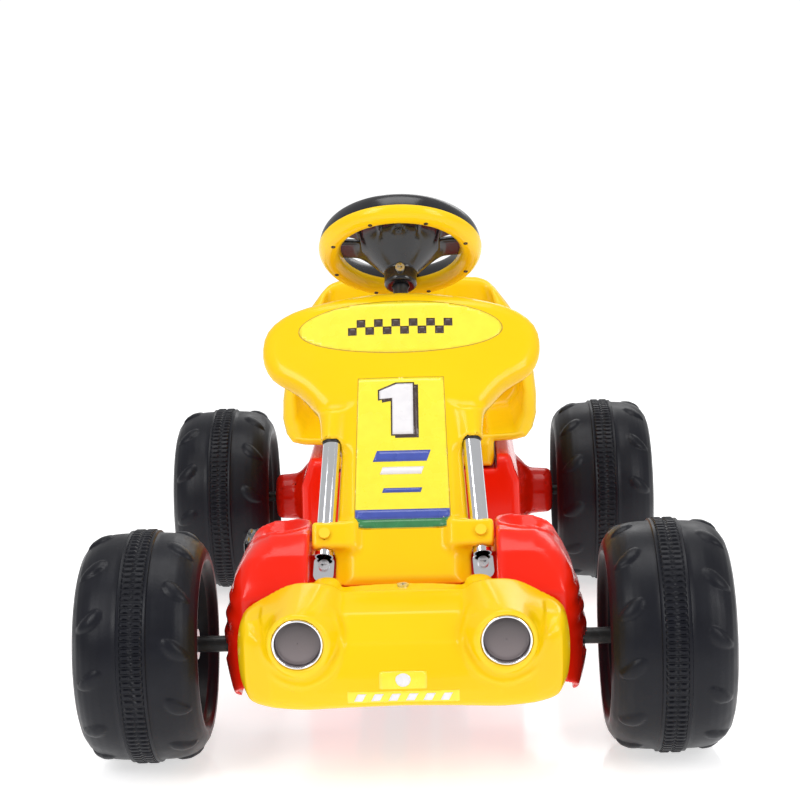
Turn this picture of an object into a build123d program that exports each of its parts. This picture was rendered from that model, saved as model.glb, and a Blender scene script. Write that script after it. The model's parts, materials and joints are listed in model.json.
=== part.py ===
"""Child's pedal go kart: moulded body, bucket seat, steered front wheels and a chain-driven rear axle.

Frame: millimetres, +Z up, the nose points along -Y, +X is the driver's left. The origin is on the ground,
at the middle of the kart's length and width.
"""

import os
from math import acos, atan2, cos, pi, radians, sin, sqrt

from build123d import *

os.makedirs("parts", exist_ok=True)

# ---- Driving dimensions ----

wall = 3.0  # moulded shells
gap = 0.3  # between a moving piece and its neighbour
fit_clearance = 0.05  # radial, shafts and pins in their holes

wheelbase = 600.0
rear_track = 478.0
wheel_radius = 115.0
wheel_width = 122.0
nose_reach = 140.0  # front axle to the bumper's foremost point

body_bottom = 66.0
front_half_width = 183.0  # at the front axle
tyre_gap = 10.5  # between the body and a front tyre
front_track = 2 * (front_half_width + tyre_gap) + wheel_width
shoulder_top = 228.0
floor_top = 176.5  # the low deck between the shoulders
deck_top = 200.0
tunnel_top = 218.0
tunnel_half_width = 66.0
seat_base_top = 192.0
seat_base_half_width = 130.0
seat_foot_half_width = 102.0  # of the seat's lower part, in the base's trough
seat_rail_top = 212.0  # of the base, beside the seat
seat_top = 395.0

steer_slope = 52.0  # of the column, tubes and fairing, above the horizon
steer_foot = -20.0  # fairing's lower edge, behind the front axle
steer_foot_height = 186.4
column_radius = 8.0
column_depth = 38.4  # column axis behind the fairing's face
tube_radius = 9.0
tube_foot_x = 79.0
tube_lean = 0.06  # how fast the tubes close in towards the top
tube_length = 168.0
fairing_depth = 22.0

rim_radius = 88.0
rim_thickness = 24.0
rim_upper_height = 22.0  # of the black half, over the rim's middle
rim_at = 391.0  # up the slope

kingpin_x = 140.0
kingpin_radius = 5.0
stub_radius = 5.0
knuckle_arm = 45.0
column_crank = 18.7  # steering arm on the column's foot

crank_station = 180.0
crank_height = 160.0
crank_radius = 72.0
crank_angle = 22.0  # right pedal forward and up
spindle_radius = 7.0
pedal_inner_x = 80.0
pedal_length = 86.0
pedal_pin_radius = 4.5

rear_axle_radius = 6.0
housing_radius = 31.0
housing_reach = 177.0

screw_radius = 2.5
screw_hole_depth = 20.0

chain_x = 22.0
chain_pitch = 12.7
chain_width = 10.0
front_teeth = 18
rear_teeth = 14
sprocket_thickness = 3.0

# ---- Worked out from them ----

front_y = -(wheelbase + wheel_radius - nose_reach) / 2
rear_y = front_y + wheelbase
half_wheel = wheel_width / 2
far = 1000.0


def at(station):
    """Y of a place given by its distance behind the front axle."""
    return front_y + station


slope = radians(steer_slope)
up_slope = Vector(0, cos(slope), sin(slope))
off_face = Vector(0, -sin(slope), cos(slope))
fairing_origin = Vector(0, at(steer_foot), steer_foot_height)
fairing_plane = Plane(origin=fairing_origin, x_dir=(1, 0, 0), z_dir=off_face)
column_origin = fairing_origin - off_face * column_depth
column_plane = Plane(origin=column_origin, x_dir=(1, 0, 0), z_dir=up_slope)

front_view = Plane(origin=(0, 0, 0), x_dir=(1, 0, 0), z_dir=(0, -1, 0))  # local (x, z), normal forward
side_view = Plane(origin=(0, 0, 0), x_dir=(0, 1, 0), z_dir=(1, 0, 0))  # local (y, z), normal to the left


def save(builder, name):
    """Labels a finished piece and writes its STEP file."""
    builder.part.label = name
    export_step(builder.part, f"parts/{name}.step")


def save_pair(builder, name):
    """Writes a left-hand piece and its mirror image."""
    save(builder, f"{name}_left")
    with BuildPart() as other:
        mirror(builder.part, about=Plane.YZ)
    save(other, f"{name}_right")


def prism(plane, points, near, far_end, inset=0.0, rounding=0.0):
    """Closed outline on a plane, inset and rounded, drawn out from near to far_end along the normal."""
    with BuildPart() as made:
        with BuildSketch(plane.offset(near)) as outline:
            with BuildLine():
                Polyline(*points, close=True)
            make_face()
            if inset:
                offset(amount=-inset, kind=Kind.INTERSECTION)
            if rounding > inset:
                fillet(outline.vertices(), rounding - inset)
        extrude(amount=far_end - near)
    return made.part


def bar(plane, radius, near, far_end):
    """Round bar along a plane's normal."""
    with BuildPart() as made:
        with BuildSketch(plane.offset(near)):
            Circle(radius)
        extrude(amount=far_end - near)
    return made.part


def ring(plane, outer, inner, near, far_end):
    """Round sleeve along a plane's normal."""
    return bar(plane, outer, near, far_end) - bar(plane, inner, near, far_end)


def box_at(middle, size):
    """Box of a size about its middle."""
    return Pos(*middle) * Box(*size, mode=Mode.PRIVATE)


def block(low, high):
    """Box between two corners."""
    return box_at([(a + b) / 2 for a, b in zip(low, high)], [b - a for a, b in zip(low, high)])


def upright(x, y):
    """Level plane at the ground, for vertical bars."""
    return Plane(origin=(x, y, 0), x_dir=(1, 0, 0), z_dir=(0, 0, 1))


def both_sides(half):
    """Closed left-right symmetric outline from its left half, listed from one end to the other."""
    return half + [(-x, z) for x, z in reversed(half) if x > 0]


def along_x(y, z):
    """Plane whose normal is the driver's left, through a point given in the side view."""
    return Plane(origin=(0, y, z), x_dir=(0, 1, 0), z_dir=(1, 0, 0))


def screw(plane, head_radius, head_height, shank_radius, depth):
    """Pan-head screw standing on a plane, with a cross recess."""
    made = bar(plane, head_radius, 0, head_height) + bar(plane, shank_radius, -depth, 0)
    for turn in (0, 90):
        recess = plane.rotated((0, 0, turn)).offset(head_height)
        with BuildPart() as slot:
            with BuildSketch(recess):
                Rectangle(head_radius * 1.1, head_radius * 0.28)
            extrude(amount=-head_height * 0.6)
        made = made - slot.part
    return made


# ---- Front body: the red shell that carries the steering ----

front_end = -60.0
back_end = 72.0
taper_station = 14.0  # the shell is widest this far either side of the axle
chin_rise = 24.0  # of the lower edge towards the nose
deck_half_width = 91.0
pad_depth = 2 * tube_radius - 2  # sloped pads that the tube feet and the fairing lie on
pad_origin = fairing_origin - off_face * pad_depth


def pad_y(height):
    """Y of the sloped pad at a height."""
    return pad_origin.Y + (height - pad_origin.Z) * cos(slope) / sin(slope)


def front_body_form(inset):
    """Front body's outer form, or the space inside its walls when inset."""
    w = front_half_width
    below = body_bottom - 4 * inset
    section = both_sides(
        [
            (0, below),
            (w - 20, below),
            (w - 3, body_bottom + 18),
            (w, body_bottom + 66),
            (w - 20, shoulder_top - 42),
            (w - 38, shoulder_top - 10),
            (w - 62, shoulder_top),
            (0, shoulder_top),
        ]
    )
    plan = both_sides(
        [
            (0, at(front_end)),
            (w - 23, at(front_end)),
            (w, at(-taper_station)),
            (w, at(taper_station)),
            (w - 25, at(back_end)),
            (0, at(back_end)),
        ]
    )
    side = [
        (at(front_end), below + chin_rise),
        (at(-taper_station), below),
        (at(back_end), below),
        (at(back_end), shoulder_top - 12),
        (at(back_end) - 16, shoulder_top),
        (at(0), shoulder_top),
        (at(front_end), floor_top),
    ]
    deck = [
        (at(front_end) - 40, floor_top - inset),
        (pad_y(floor_top) + inset, floor_top - inset),
        (pad_y(deck_top) + inset, deck_top - inset),
        (at(back_end) + 40, deck_top - inset),
        (at(back_end) + 40, shoulder_top + 60),
        (at(front_end) - 40, shoulder_top + 60),
    ]
    form = prism(front_view, section, -far, far, inset, 14)
    form = form & prism(Plane.XY, plan, -far, far, inset, 12)
    form = form & prism(side_view, side, -far, far, inset)
    valley = deck_half_width + inset
    return form - prism(side_view, deck, -valley, valley)


yoke_gap = 36.0  # between the yoke's plates, with the knuckle in it
yoke_plate = 6.0
yoke_half = yoke_gap / 2 + gap
beam_bottom = wheel_radius - yoke_half - yoke_plate
beam_height = 24.0
beam_half_depth = 12.0
beam_top = beam_bottom + beam_height
rail_low = (-34.0, 70.0)
rail_high = (-9.0, 95.0)
rail_clear = 1.0
rail_wall = 2.0
rail_end = 560.0

scoop_x = 122.0
scoop_station = 36.0
scoop_size = (56.0, 36.0)  # across, lengthwise
scoop_depth = 14.0
post_x = 100.0
post_half_width = 8.0
post_half_depth = 10.0
axle_slot_length = 72.0
axle_slot_height = 18.0
boss_radius = 14.0
bush_radius = 11.0
bush_length = 22.0
boss_below = 14.0  # of the lower bush
lower_bush_at = 38.0  # up the column
upper_bush_at = 279.0
tube_screw_at = 17.0
tube_tongue = 28.0
bumper_screw_station = -45.0

rail_notch = block(
    (rail_low[0] - rail_clear, at(-beam_half_depth), 0),
    (rail_high[0] + rail_clear, at(rail_end) + half_wheel, rail_high[1] + rail_clear),
)


def tube_plane(side):
    """Plane square to a support tube, its origin at the tube's foot."""
    direction = (up_slope - Vector(side * tube_lean, 0, 0)).normalized()
    foot = fairing_origin - off_face * (tube_radius - 2) + Vector(side * tube_foot_x, 0, 0)
    return Plane(origin=foot, x_dir=direction.cross(off_face), z_dir=direction)


def tube_screw_plane(side):
    """Plane of a tube's flattened foot, under the screw's head."""
    place = tube_plane(side)
    middle = place.origin + place.z_dir * tube_screw_at - off_face * (tube_radius - 4)
    return Plane(origin=middle, x_dir=(1, 0, 0), z_dir=off_face)


with BuildPart() as front_body:
    outer_form = front_body_form(0)
    add(outer_form)
    add(front_body_form(wall), mode=Mode.SUBTRACT)
    scoops = Part()
    cuts = Part()
    for side in (-1, 1):  # pockets in the tops of the shoulders, and posts down to the axle beam
        middle = (side * scoop_x, at(scoop_station), shoulder_top)
        scoops = scoops + box_at(middle, (*scoop_size, 2 * (scoop_depth + wall)))
        post_low = (side * post_x - post_half_width, at(-post_half_depth), beam_top)
        scoops = scoops + block(post_low, (side * post_x + post_half_width, at(post_half_depth), far))
        cuts = cuts + box_at(middle, (scoop_size[0] - 2 * wall, scoop_size[1] - 2 * wall, 2 * scoop_depth))
    add(scoops & outer_form)
    add(cuts, mode=Mode.SUBTRACT)
    with BuildSketch(Plane.YZ):  # slots that the stub axles swing in
        with Locations((at(0), wheel_radius)):
            SlotOverall(axle_slot_length, axle_slot_height)
    extrude(amount=far, both=True, mode=Mode.SUBTRACT)
    add(bar(column_plane, boss_radius, lower_bush_at - boss_below, lower_bush_at + bush_length))
    add(bar(column_plane, bush_radius, 0, lower_bush_at + 3 * bush_length), mode=Mode.SUBTRACT)
    add(rail_notch, mode=Mode.SUBTRACT)
    for side in (-1, 1):
        add(bar(tube_screw_plane(side), screw_radius, -screw_hole_depth, 0), mode=Mode.SUBTRACT)
    with Locations((0, at(bumper_screw_station), floor_top)):
        Hole(screw_radius, screw_hole_depth)
save(front_body, "front_body")

# ---- Centre tunnel: covers the crank and chain ----

base_front = 392.0
bush_wall = 10.0
crank_bush_radius = 10.0
crank_y = at(crank_station)
crank_axis = along_x(crank_y, crank_height)


def tunnel_form(inset):
    """Tunnel's outer form, or the space inside it; open underneath and at the rear."""
    w = tunnel_half_width
    below = body_bottom - 4 * inset
    section = both_sides(
        [(0, below), (w, below), (w, tunnel_top - 22), (w - 22, tunnel_top), (0, tunnel_top)]
    )
    side = [
        (at(back_end), below),
        (at(base_front) + 4 * inset, below),
        (at(base_front) + 4 * inset, seat_base_top - 0.1 * inset),
        (at(crank_station + 66), tunnel_top),
        (at(back_end) + 14, tunnel_top),
        (at(back_end), tunnel_top - 14),
    ]
    return prism(front_view, section, -far, far, inset, 8) & prism(side_view, side, -far, far, inset)


with BuildPart() as centre_tunnel:
    add(tunnel_form(0))
    add(tunnel_form(wall), mode=Mode.SUBTRACT)
    add(bar(crank_axis, crank_bush_radius + wall, tunnel_half_width - bush_wall, tunnel_half_width))
    add(bar(crank_axis, crank_bush_radius + wall, -tunnel_half_width, bush_wall - tunnel_half_width))
    add(bar(crank_axis, crank_bush_radius, -far, far), mode=Mode.SUBTRACT)
    add(rail_notch, mode=Mode.SUBTRACT)
save(centre_tunnel, "centre_tunnel")

with BuildPart() as crank_bush:
    add(ring(crank_axis, crank_bush_radius, spindle_radius + fit_clearance,
             tunnel_half_width - bush_wall, tunnel_half_width))
save_pair(crank_bush, "crank_bush")

# ---- Seat base: carries the seat and the rear axle ----

base_back = wheelbase + 52.0
rail_thickness = 6.0
axle_axis = along_x(rear_y, wheel_radius)
rear_bush_radius = 10.0
rear_bush_length = 14.0
seat_bolt_x = 60.0
seat_bolt_station = 470.0
seat_bolt_radius = 4.0
seat_bolt_depth = 20.0
rail_post_from = 500.0
rail_post_to = 540.0


def seat_base_form(inset):
    """Seat base's outer form, or the space inside it; open underneath."""
    w = seat_base_half_width
    below = body_bottom - 4 * inset
    rail = seat_foot_half_width + gap + 2 * rail_thickness
    section = both_sides(
        [
            (0, below),
            (w - 4, below),
            (w, body_bottom + 54),
            (w - 6, seat_base_top),
            (rail, seat_rail_top),
            (0, seat_rail_top),
        ]
    )
    side = [
        (at(base_front), below),
        (at(base_back) - 14, below),
        (at(base_back), body_bottom + 50),
        (at(base_back) - 20, seat_base_top),
        (at(base_back) - 90, seat_rail_top),
        (at(base_front) + 6, seat_rail_top),
        (at(base_front), seat_rail_top - 6),
    ]
    form = prism(front_view, section, -far, far, inset, 6) & prism(side_view, side, -far, far, inset)
    trough = seat_foot_half_width + gap + inset
    return form - block((-trough, at(0), seat_base_top - inset), (trough, at(far), far))


with BuildPart() as seat_base:
    add(seat_base_form(0))
    add(bar(axle_axis, housing_radius, -housing_reach, housing_reach))
    add(seat_base_form(wall), mode=Mode.SUBTRACT)
    end = housing_reach - wall
    add(bar(axle_axis, housing_radius - wall, -end, end), mode=Mode.SUBTRACT)
    for near in (-housing_reach, housing_reach - rear_bush_length):
        add(bar(axle_axis, rear_bush_radius + wall, near, near + rear_bush_length))
    add(bar(axle_axis, rear_bush_radius, -far, far), mode=Mode.SUBTRACT)
    inner = tunnel_half_width - wall
    doorway_top = seat_base_top - 2 * wall - 2
    doorway_low = (-inner, at(base_front) - 1, 0)
    add(block(doorway_low, (inner, at(base_front) + wall, doorway_top)), mode=Mode.SUBTRACT)
    post_low = (rail_low[0], at(rail_post_from), rail_high[1])
    add(block(post_low, (rail_high[0], at(rail_post_to), seat_base_top - wall)))
    with Locations([(side * seat_bolt_x, at(seat_bolt_station), seat_base_top) for side in (-1, 1)]):
        Hole(seat_bolt_radius, seat_bolt_depth)
save(seat_base, "seat_base")

with BuildPart() as rear_bush:
    add(ring(axle_axis, rear_bush_radius, rear_axle_radius + fit_clearance,
             housing_reach - rear_bush_length, housing_reach))
save_pair(rear_bush, "rear_bush")

# ---- Steel frame: backbone rail and front axle beam ----

with BuildPart() as frame_rail:
    t = rail_wall
    add(block((rail_low[0], at(beam_half_depth), rail_low[1]), (rail_high[0], at(rail_end), rail_high[1])))
    inside_low = (rail_low[0] + t, at(0), rail_low[1] + t)
    add(block(inside_low, (rail_high[0] - t, at(rail_end) + t, rail_high[1] - t)), mode=Mode.SUBTRACT)
save(frame_rail, "frame_rail")

kingpin_head = 5.0
kingpin_head_radius = 9.0
kingpin_tip = 10.0  # below the beam
kingpin_tip_radius = 3.5
yoke_top = wheel_radius + yoke_half + yoke_plate
web_x = 112.0
web_thickness = 6.0
beam_wall = 2.0

with BuildPart() as front_axle_beam:
    d = beam_half_depth
    t = beam_wall
    add(block((-web_x, at(-d), beam_bottom), (web_x, at(d), beam_top)))
    inside_low = (-web_x - t, at(t - d), beam_bottom + t)
    add(block(inside_low, (web_x + t, at(d - t), beam_top - t)), mode=Mode.SUBTRACT)
    for side in (-1, 1):
        web = (side * (web_x + web_thickness / 2), at(0), (yoke_top + beam_bottom) / 2)
        add(box_at(web, (web_thickness, 2 * d, yoke_top - beam_bottom)))
        pin_line = upright(side * kingpin_x, at(0))
        for low in (beam_bottom, yoke_top - yoke_plate):
            plate = (side * (web_x + kingpin_x) / 2, at(0), low + yoke_plate / 2)
            add(box_at(plate, (kingpin_x - web_x, 2 * d, yoke_plate)))
            add(bar(pin_line, d, low, low + yoke_plate))
        add(bar(pin_line, kingpin_radius + fit_clearance, 0, far), mode=Mode.SUBTRACT)
save(front_axle_beam, "front_axle_beam")

with BuildPart() as kingpin:
    kingpin_line = upright(kingpin_x, at(0))
    add(bar(kingpin_line, kingpin_head_radius, yoke_top, yoke_top + kingpin_head))
    add(bar(kingpin_line, kingpin_radius, beam_bottom - kingpin_tip / 2, yoke_top))
    add(bar(kingpin_line, kingpin_tip_radius, beam_bottom - kingpin_tip, yoke_top))
save_pair(kingpin, "kingpin")

# ---- Knuckles, tie rod ----

hub_face = 46.0  # the wheel's hub ends, from its middle
nut_height = 6.0
front_wheel_x = front_track / 2
arm_low = 108.0
arm_high = 116.0
tie_rod_thickness = 6.0
tie_pin_radius = 4.0
tie_pin_y = at(-knuckle_arm)
tie_eye_radius = 8.0
tie_rod_width = 12.0
barrel_radius = 11.0
arm_end_radius = 9.0
shoulder_radius = 8.0
washer_radius = 15.0
washer_thickness = 3.0
front_nut_across = 17.0
axle_tip = 2.0  # past its nut

with BuildPart() as knuckle:
    low, high = wheel_radius - yoke_gap / 2, wheel_radius + yoke_gap / 2
    add(bar(kingpin_line, barrel_radius, low, high))
    stub = along_x(at(0), wheel_radius)
    inner_hub_x = front_wheel_x - hub_face
    outer_hub_x = front_wheel_x + hub_face
    shoulder_x = inner_hub_x - washer_thickness
    add(bar(stub, stub_radius, kingpin_x, outer_hub_x + nut_height + axle_tip))
    add(bar(stub, shoulder_radius, kingpin_x, shoulder_x))
    with BuildSketch(Plane.XY.offset(arm_low)):
        with Locations((kingpin_x, (at(0) + tie_pin_y) / 2)):
            SlotOverall(knuckle_arm + 2 * arm_end_radius, 2 * arm_end_radius, rotation=90)
    extrude(amount=arm_high - arm_low)
    add(bar(upright(kingpin_x, tie_pin_y), tie_pin_radius, arm_high, arm_high + 2 * tie_rod_thickness))
    add(bar(kingpin_line, kingpin_radius + fit_clearance, 0, far), mode=Mode.SUBTRACT)
save_pair(knuckle, "knuckle")

with BuildPart() as front_axle_washer:
    add(ring(stub, washer_radius, stub_radius + fit_clearance, shoulder_x, inner_hub_x - gap))
save_pair(front_axle_washer, "front_axle_washer")


def hexagon_nut(plane, across, bore, near, height):
    """Hexagon nut along a plane's normal."""
    with BuildPart() as made:
        with BuildSketch(plane.offset(near)):
            RegularPolygon(across / 2, 6, major_radius=False)
            Circle(bore, mode=Mode.SUBTRACT)
        extrude(amount=height)
    return made.part


with BuildPart() as front_axle_nut:
    add(hexagon_nut(stub, front_nut_across, stub_radius, outer_hub_x + gap, nut_height))
save_pair(front_axle_nut, "front_axle_nut")

lug_thickness = 8.0
lug_radius = 10.0
slot_travel = 2.6
slot_clearance = 0.35
lug_at = (tie_pin_y + sin(slope) * column_crank - column_origin.Y) / cos(slope)  # up the column
lug_plane = Plane(
    origin=column_origin + up_slope * lug_at + off_face * column_crank, x_dir=(1, 0, 0), z_dir=up_slope
)
tie_low = arm_high + gap

with BuildPart() as tie_rod:
    with BuildSketch(Plane.XY.offset(tie_low)):
        with Locations((0, tie_pin_y)):
            Rectangle(2 * kingpin_x, tie_rod_width)
        with Locations([(side * kingpin_x, tie_pin_y) for side in (-1, 1)]):
            Circle(tie_eye_radius)
            Circle(tie_pin_radius + fit_clearance, mode=Mode.SUBTRACT)
    extrude(amount=tie_rod_thickness)
    add(bar(lug_plane, lug_radius, -lug_thickness / 2, lug_thickness / 2))
    slot_width = 2 * (tie_pin_radius + slot_clearance)
    with BuildSketch(lug_plane):
        with Locations((0, slot_travel / 2)):
            SlotOverall(slot_travel + slot_width, slot_width, rotation=90)
    extrude(amount=2 * lug_radius, both=True, mode=Mode.SUBTRACT)
save(tie_rod, "tie_rod")

# ---- Steering column and wheel ----

arm_clear = 2.5
arm_thickness = 6.0
arm_width = 20.0
arm_pin_reach = 4.0  # below the tie rod's lug
column_foot = lug_at + lug_thickness / 2 + arm_clear + arm_thickness
neck_radius = 17.5
neck_from = 346.0
boss_screw_at = 358.0
boss_screw_head = (5.0, 3.0)  # radius, height
column_top = rim_at + 2

with BuildPart() as steering_column:
    add(bar(column_plane, column_radius, column_foot, column_top))
    cross = Plane(origin=column_origin + up_slope * boss_screw_at, x_dir=(1, 0, 0), z_dir=off_face)
    add(bar(cross, screw_radius, -neck_radius, neck_radius), mode=Mode.SUBTRACT)
save(steering_column, "steering_column")

with BuildPart() as steering_arm:
    with BuildSketch(column_plane.offset(column_foot - arm_thickness)):
        with Locations((0, -column_crank / 2)):
            SlotOverall(column_crank + arm_width, arm_width, rotation=90)
    extrude(amount=arm_thickness)
    pin_top = lug_thickness / 2 + arm_clear + arm_thickness / 2
    add(bar(lug_plane, tie_pin_radius, -lug_thickness / 2 - arm_pin_reach, pin_top))
save(steering_arm, "steering_arm")

ring_radius = rim_radius - rim_thickness / 2
rim_middle = column_plane.offset(rim_at)
split_at = 2.0  # above the rim's middle
spoke_half_width = 20.0
fan_angle = 136.0
spoke_top = 8.0  # above the rim's middle
hub_disc_radius = 28.0
hub_disc_top = 12.0


def rim_ring(half_height, low_end, high_end):
    """Part of the rim between two heights above its middle."""
    with BuildPart() as made:
        with BuildSketch(Plane(origin=rim_middle.origin, x_dir=off_face, z_dir=(1, 0, 0))):
            with Locations((ring_radius, 0)):
                Ellipse(rim_thickness / 2, half_height)
        revolve(axis=Axis(rim_middle.origin, up_slope), revolution_arc=360)
    return made.part & bar(rim_middle, rim_radius + rim_thickness, low_end, high_end)


with BuildPart() as wheel_rim:  # the yellow half, on the nose side
    add(rim_ring(rim_thickness / 2, -rim_thickness, split_at))
save(wheel_rim, "wheel_rim")

with BuildPart() as wheel_top:
    add(rim_ring(rim_upper_height, split_at, 2 * rim_thickness))
    add(bar(rim_middle, hub_disc_radius, split_at, hub_disc_top))
    with BuildSketch(rim_middle.offset(split_at)):  # fan between the hub and the rim's nose side
        with BuildLine():
            fan_half = radians(fan_angle / 2)
            corner = (ring_radius * sin(fan_half), -ring_radius * cos(fan_half))
            fan_end = (-corner[0], corner[1])
            ThreePointArc(corner, (0, -ring_radius), fan_end)
            Polyline(fan_end, (0, 0), corner)
        make_face()
    extrude(amount=spoke_top - split_at)
    for turn in (0, 90):
        with BuildSketch(rim_middle.offset(split_at)):
            Rectangle(2 * ring_radius, 2 * spoke_half_width, rotation=turn)
        extrude(amount=spoke_top - split_at)
    add(bar(rim_middle, neck_radius, neck_from - rim_at, spoke_top))
    add(bar(column_plane, column_radius + fit_clearance, 0, column_top), mode=Mode.SUBTRACT)
    add(bar(cross, screw_radius, 0, 2 * neck_radius), mode=Mode.SUBTRACT)
save(wheel_top, "wheel_top")

with BuildPart() as boss_screw:
    add(screw(cross.offset(neck_radius), *boss_screw_head, screw_radius, neck_radius + column_radius - 1))
save(boss_screw, "boss_screw")

with BuildPart() as column_bush_lower:
    add(ring(column_plane, bush_radius, column_radius + fit_clearance,
             lower_bush_at, lower_bush_at + bush_length))
save(column_bush_lower, "column_bush_lower")

with BuildPart() as column_bush_upper:
    add(ring(column_plane, bush_radius, column_radius + fit_clearance,
             upper_bush_at, upper_bush_at + bush_length))
save(column_bush_upper, "column_bush_upper")

bracket_face = column_depth - fairing_depth  # the fairing's back, from the column's axis
bracket_width = 70.0
bracket_behind = 16.0  # the column's axis
bracket_rounding = 6.0

with BuildPart() as column_bracket:
    with BuildSketch(column_plane.offset(upper_bush_at)):
        with Locations((0, -(bracket_face - bracket_behind) / 2)):
            Rectangle(bracket_width, bracket_face + bracket_behind)
        fillet(vertices(), bracket_rounding)
        Circle(bush_radius, mode=Mode.SUBTRACT)
    extrude(amount=bush_length)
save(column_bracket, "column_bracket")

# ---- Front fairing and its support tubes ----

thin_until = 42.0
tab_from = 30.0
tab_to = 56.0
tab_root = 60.0
tab_reach = 88.0
tab_rise = 6.5
fairing_outline = both_sides(
    [
        (0, 0), (67, 0), (65.5, 30), (65, 56), (60.5, 150), (72, 156), (86, 185), (106, 213),
        (137, 232), (146, 259), (140, 290), (110, 310), (57, 323), (0, 328),
    ]
)
groove_end = 172.0


def fairing_form(inset):
    """Fairing's outer form, or the space inside it."""
    deep = prism(fairing_plane, fairing_outline, -fairing_depth + inset, -inset, inset)
    low_end = [(-far, -far), (far, -far), (far, thin_until + inset), (-far, thin_until + inset)]
    under = prism(fairing_plane, low_end, -far / 2, -pad_depth + inset)
    return deep - under


rivet_radius = 2.0
rivet_head = (5.5, 3.0)  # radius, height
rivet_at = (tab_from + tab_to) / 2


def rivet_plane(side):
    """Outer face of a tab, over the middle of its tube."""
    place = Pos(side * (tube_foot_x - tube_lean * rivet_at), rivet_at, tab_rise)
    return Plane(fairing_plane.location * place)


with BuildPart() as front_fairing:
    add(fairing_form(0))
    hollow = fairing_form(wall)
    for side in (-1, 1):
        tab = (side * (tab_root + tab_reach) / 2, (tab_from + tab_to) / 2, tab_rise / 2)
        add(fairing_plane.location * box_at(tab, (tab_reach - tab_root, tab_to - tab_from, tab_rise)))
        hollow = hollow - bar(tube_plane(side), tube_radius + gap + wall, -tube_radius, groove_end + wall)
    add(hollow, mode=Mode.SUBTRACT)
    for side in (-1, 1):
        add(bar(tube_plane(side), tube_radius + gap, -tube_radius, groove_end), mode=Mode.SUBTRACT)
        add(bar(rivet_plane(side), rivet_radius, -tab_rise, tab_rise), mode=Mode.SUBTRACT)
save(front_fairing, "front_fairing")

with BuildPart() as tab_rivet:
    add(bar(rivet_plane(1), rivet_head[0], 0, rivet_head[1]))
    add(bar(rivet_plane(1), rivet_radius, rivet_radius - tab_rise, 0))
save_pair(tab_rivet, "tab_rivet")

left_tube = tube_plane(1)
tube_wall = 1.5
tongue_thickness = 4.0
tongue_width = 20.0
tongue_rounding = 8.0

with BuildPart() as support_tube:
    foot_end = tube_tongue - tongue_thickness
    add(ring(left_tube, tube_radius, tube_radius - tube_wall, foot_end, tube_length))
    tongue_bottom = left_tube.origin - off_face * (tube_radius - 2 + tongue_thickness / 2)
    with BuildSketch(Plane(tongue_bottom, x_dir=left_tube.z_dir, z_dir=off_face)):
        with Locations((tube_tongue / 2, 0)):
            RectangleRounded(tube_tongue, tongue_width, tongue_rounding)
    extrude(amount=tongue_thickness)
    add(bar(tube_screw_plane(1), screw_radius, -far, far), mode=Mode.SUBTRACT)
save_pair(support_tube, "support_tube")

screw_head = (5.5, 3.0)  # radius, height
screw_depth = 14.0

with BuildPart() as tube_screw:
    add(screw(tube_screw_plane(1), *screw_head, screw_radius, screw_depth))
save_pair(tube_screw, "tube_screw")

# ---- Front bumper and headlights ----

lamp_x = 96.0
lamp_height = 156.0
lamp_front = -134.0
barrel_outer = 31.0
lamp_outer = 24.0
lens_radius = 20.5
flange_half_width = deck_half_width - 4
flange_back = -32.0
flange_height = 6.0
lens_back = -20.0
lens_front = -5.0
lamp_lip = 1.0
horn_x = 73.0
horn_half_width = 18.0
horn_front = -92.0
horn_low = 120.0
horn_top = 196.0
horn_foot_front = -70.0
horn_foot_back = -34.0


def bumper_form(inset):
    """Bumper's outer form, or the space inside it; open at the rear."""
    section = both_sides(
        [(0, 92), (96, 88), (138, 101), (159, 120), (160, 142), (152, 166), (134, 176), (0, 188)]
    )
    plan = both_sides(
        [
            (0, at(-nose_reach)), (72, at(-nose_reach + 3)), (118, at(-nose_reach + 14)), (150, at(-108)),
            (160, at(-84)), (160, at(front_end) + 4 * inset), (0, at(front_end) + 4 * inset),
        ]
    )
    side = [
        (at(front_end) + 4 * inset, 80), (at(-124), 80), (at(-nose_reach), 100), (at(-nose_reach), 146),
        (at(-122), 166), (at(-90), 178), (at(front_end) + 4 * inset, 187),
    ]
    form = prism(front_view, section, -far, far, inset, 12)
    form = form & prism(Plane.XY, plan, -far, far, inset)
    return form & prism(side_view, side, -far, far, inset)


def lamp_plane(side):
    """Plane through a headlight's front edge, its normal pointing forward."""
    return Plane(origin=(side * lamp_x, at(lamp_front), lamp_height), x_dir=(1, 0, 0), z_dir=(0, -1, 0))


with BuildPart() as front_bumper:
    back = lamp_front - front_end  # negative: the body's front face, from the lamps' front edge
    add(bumper_form(0))
    for side in (-1, 1):
        add(bar(lamp_plane(side), barrel_outer, back, 0))
        inner_x = side * horn_x - horn_half_width
        outer_x = side * horn_x + horn_half_width
        add(block((inner_x, at(horn_front), horn_low), (outer_x, at(front_end), horn_top)))
    add(bumper_form(wall), mode=Mode.SUBTRACT)
    for side in (-1, 1):
        add(bar(lamp_plane(side), barrel_outer - wall, back, lens_back - wall), mode=Mode.SUBTRACT)
        add(bar(lamp_plane(side), lamp_outer, lens_back, far), mode=Mode.SUBTRACT)
    flange_low = (-flange_half_width, at(front_end) - wall, floor_top)
    add(block(flange_low, (flange_half_width, at(flange_back), floor_top + flange_height)))
    for side in (-1, 1):
        ends = sorted((side * (horn_x - horn_half_width), side * flange_half_width))
        add(block((ends[0], at(horn_foot_front), floor_top), (ends[1], at(horn_foot_back), horn_top)))
    with Locations((0, at(bumper_screw_station), floor_top + flange_height)):
        Hole(screw_radius, screw_hole_depth)
save(front_bumper, "front_bumper")

with BuildPart() as bumper_screw:
    screw_place = Plane(origin=(0, at(bumper_screw_station), floor_top + flange_height))
    add(screw(screw_place, *screw_head, screw_radius, screw_depth))
save(bumper_screw, "bumper_screw")

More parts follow.
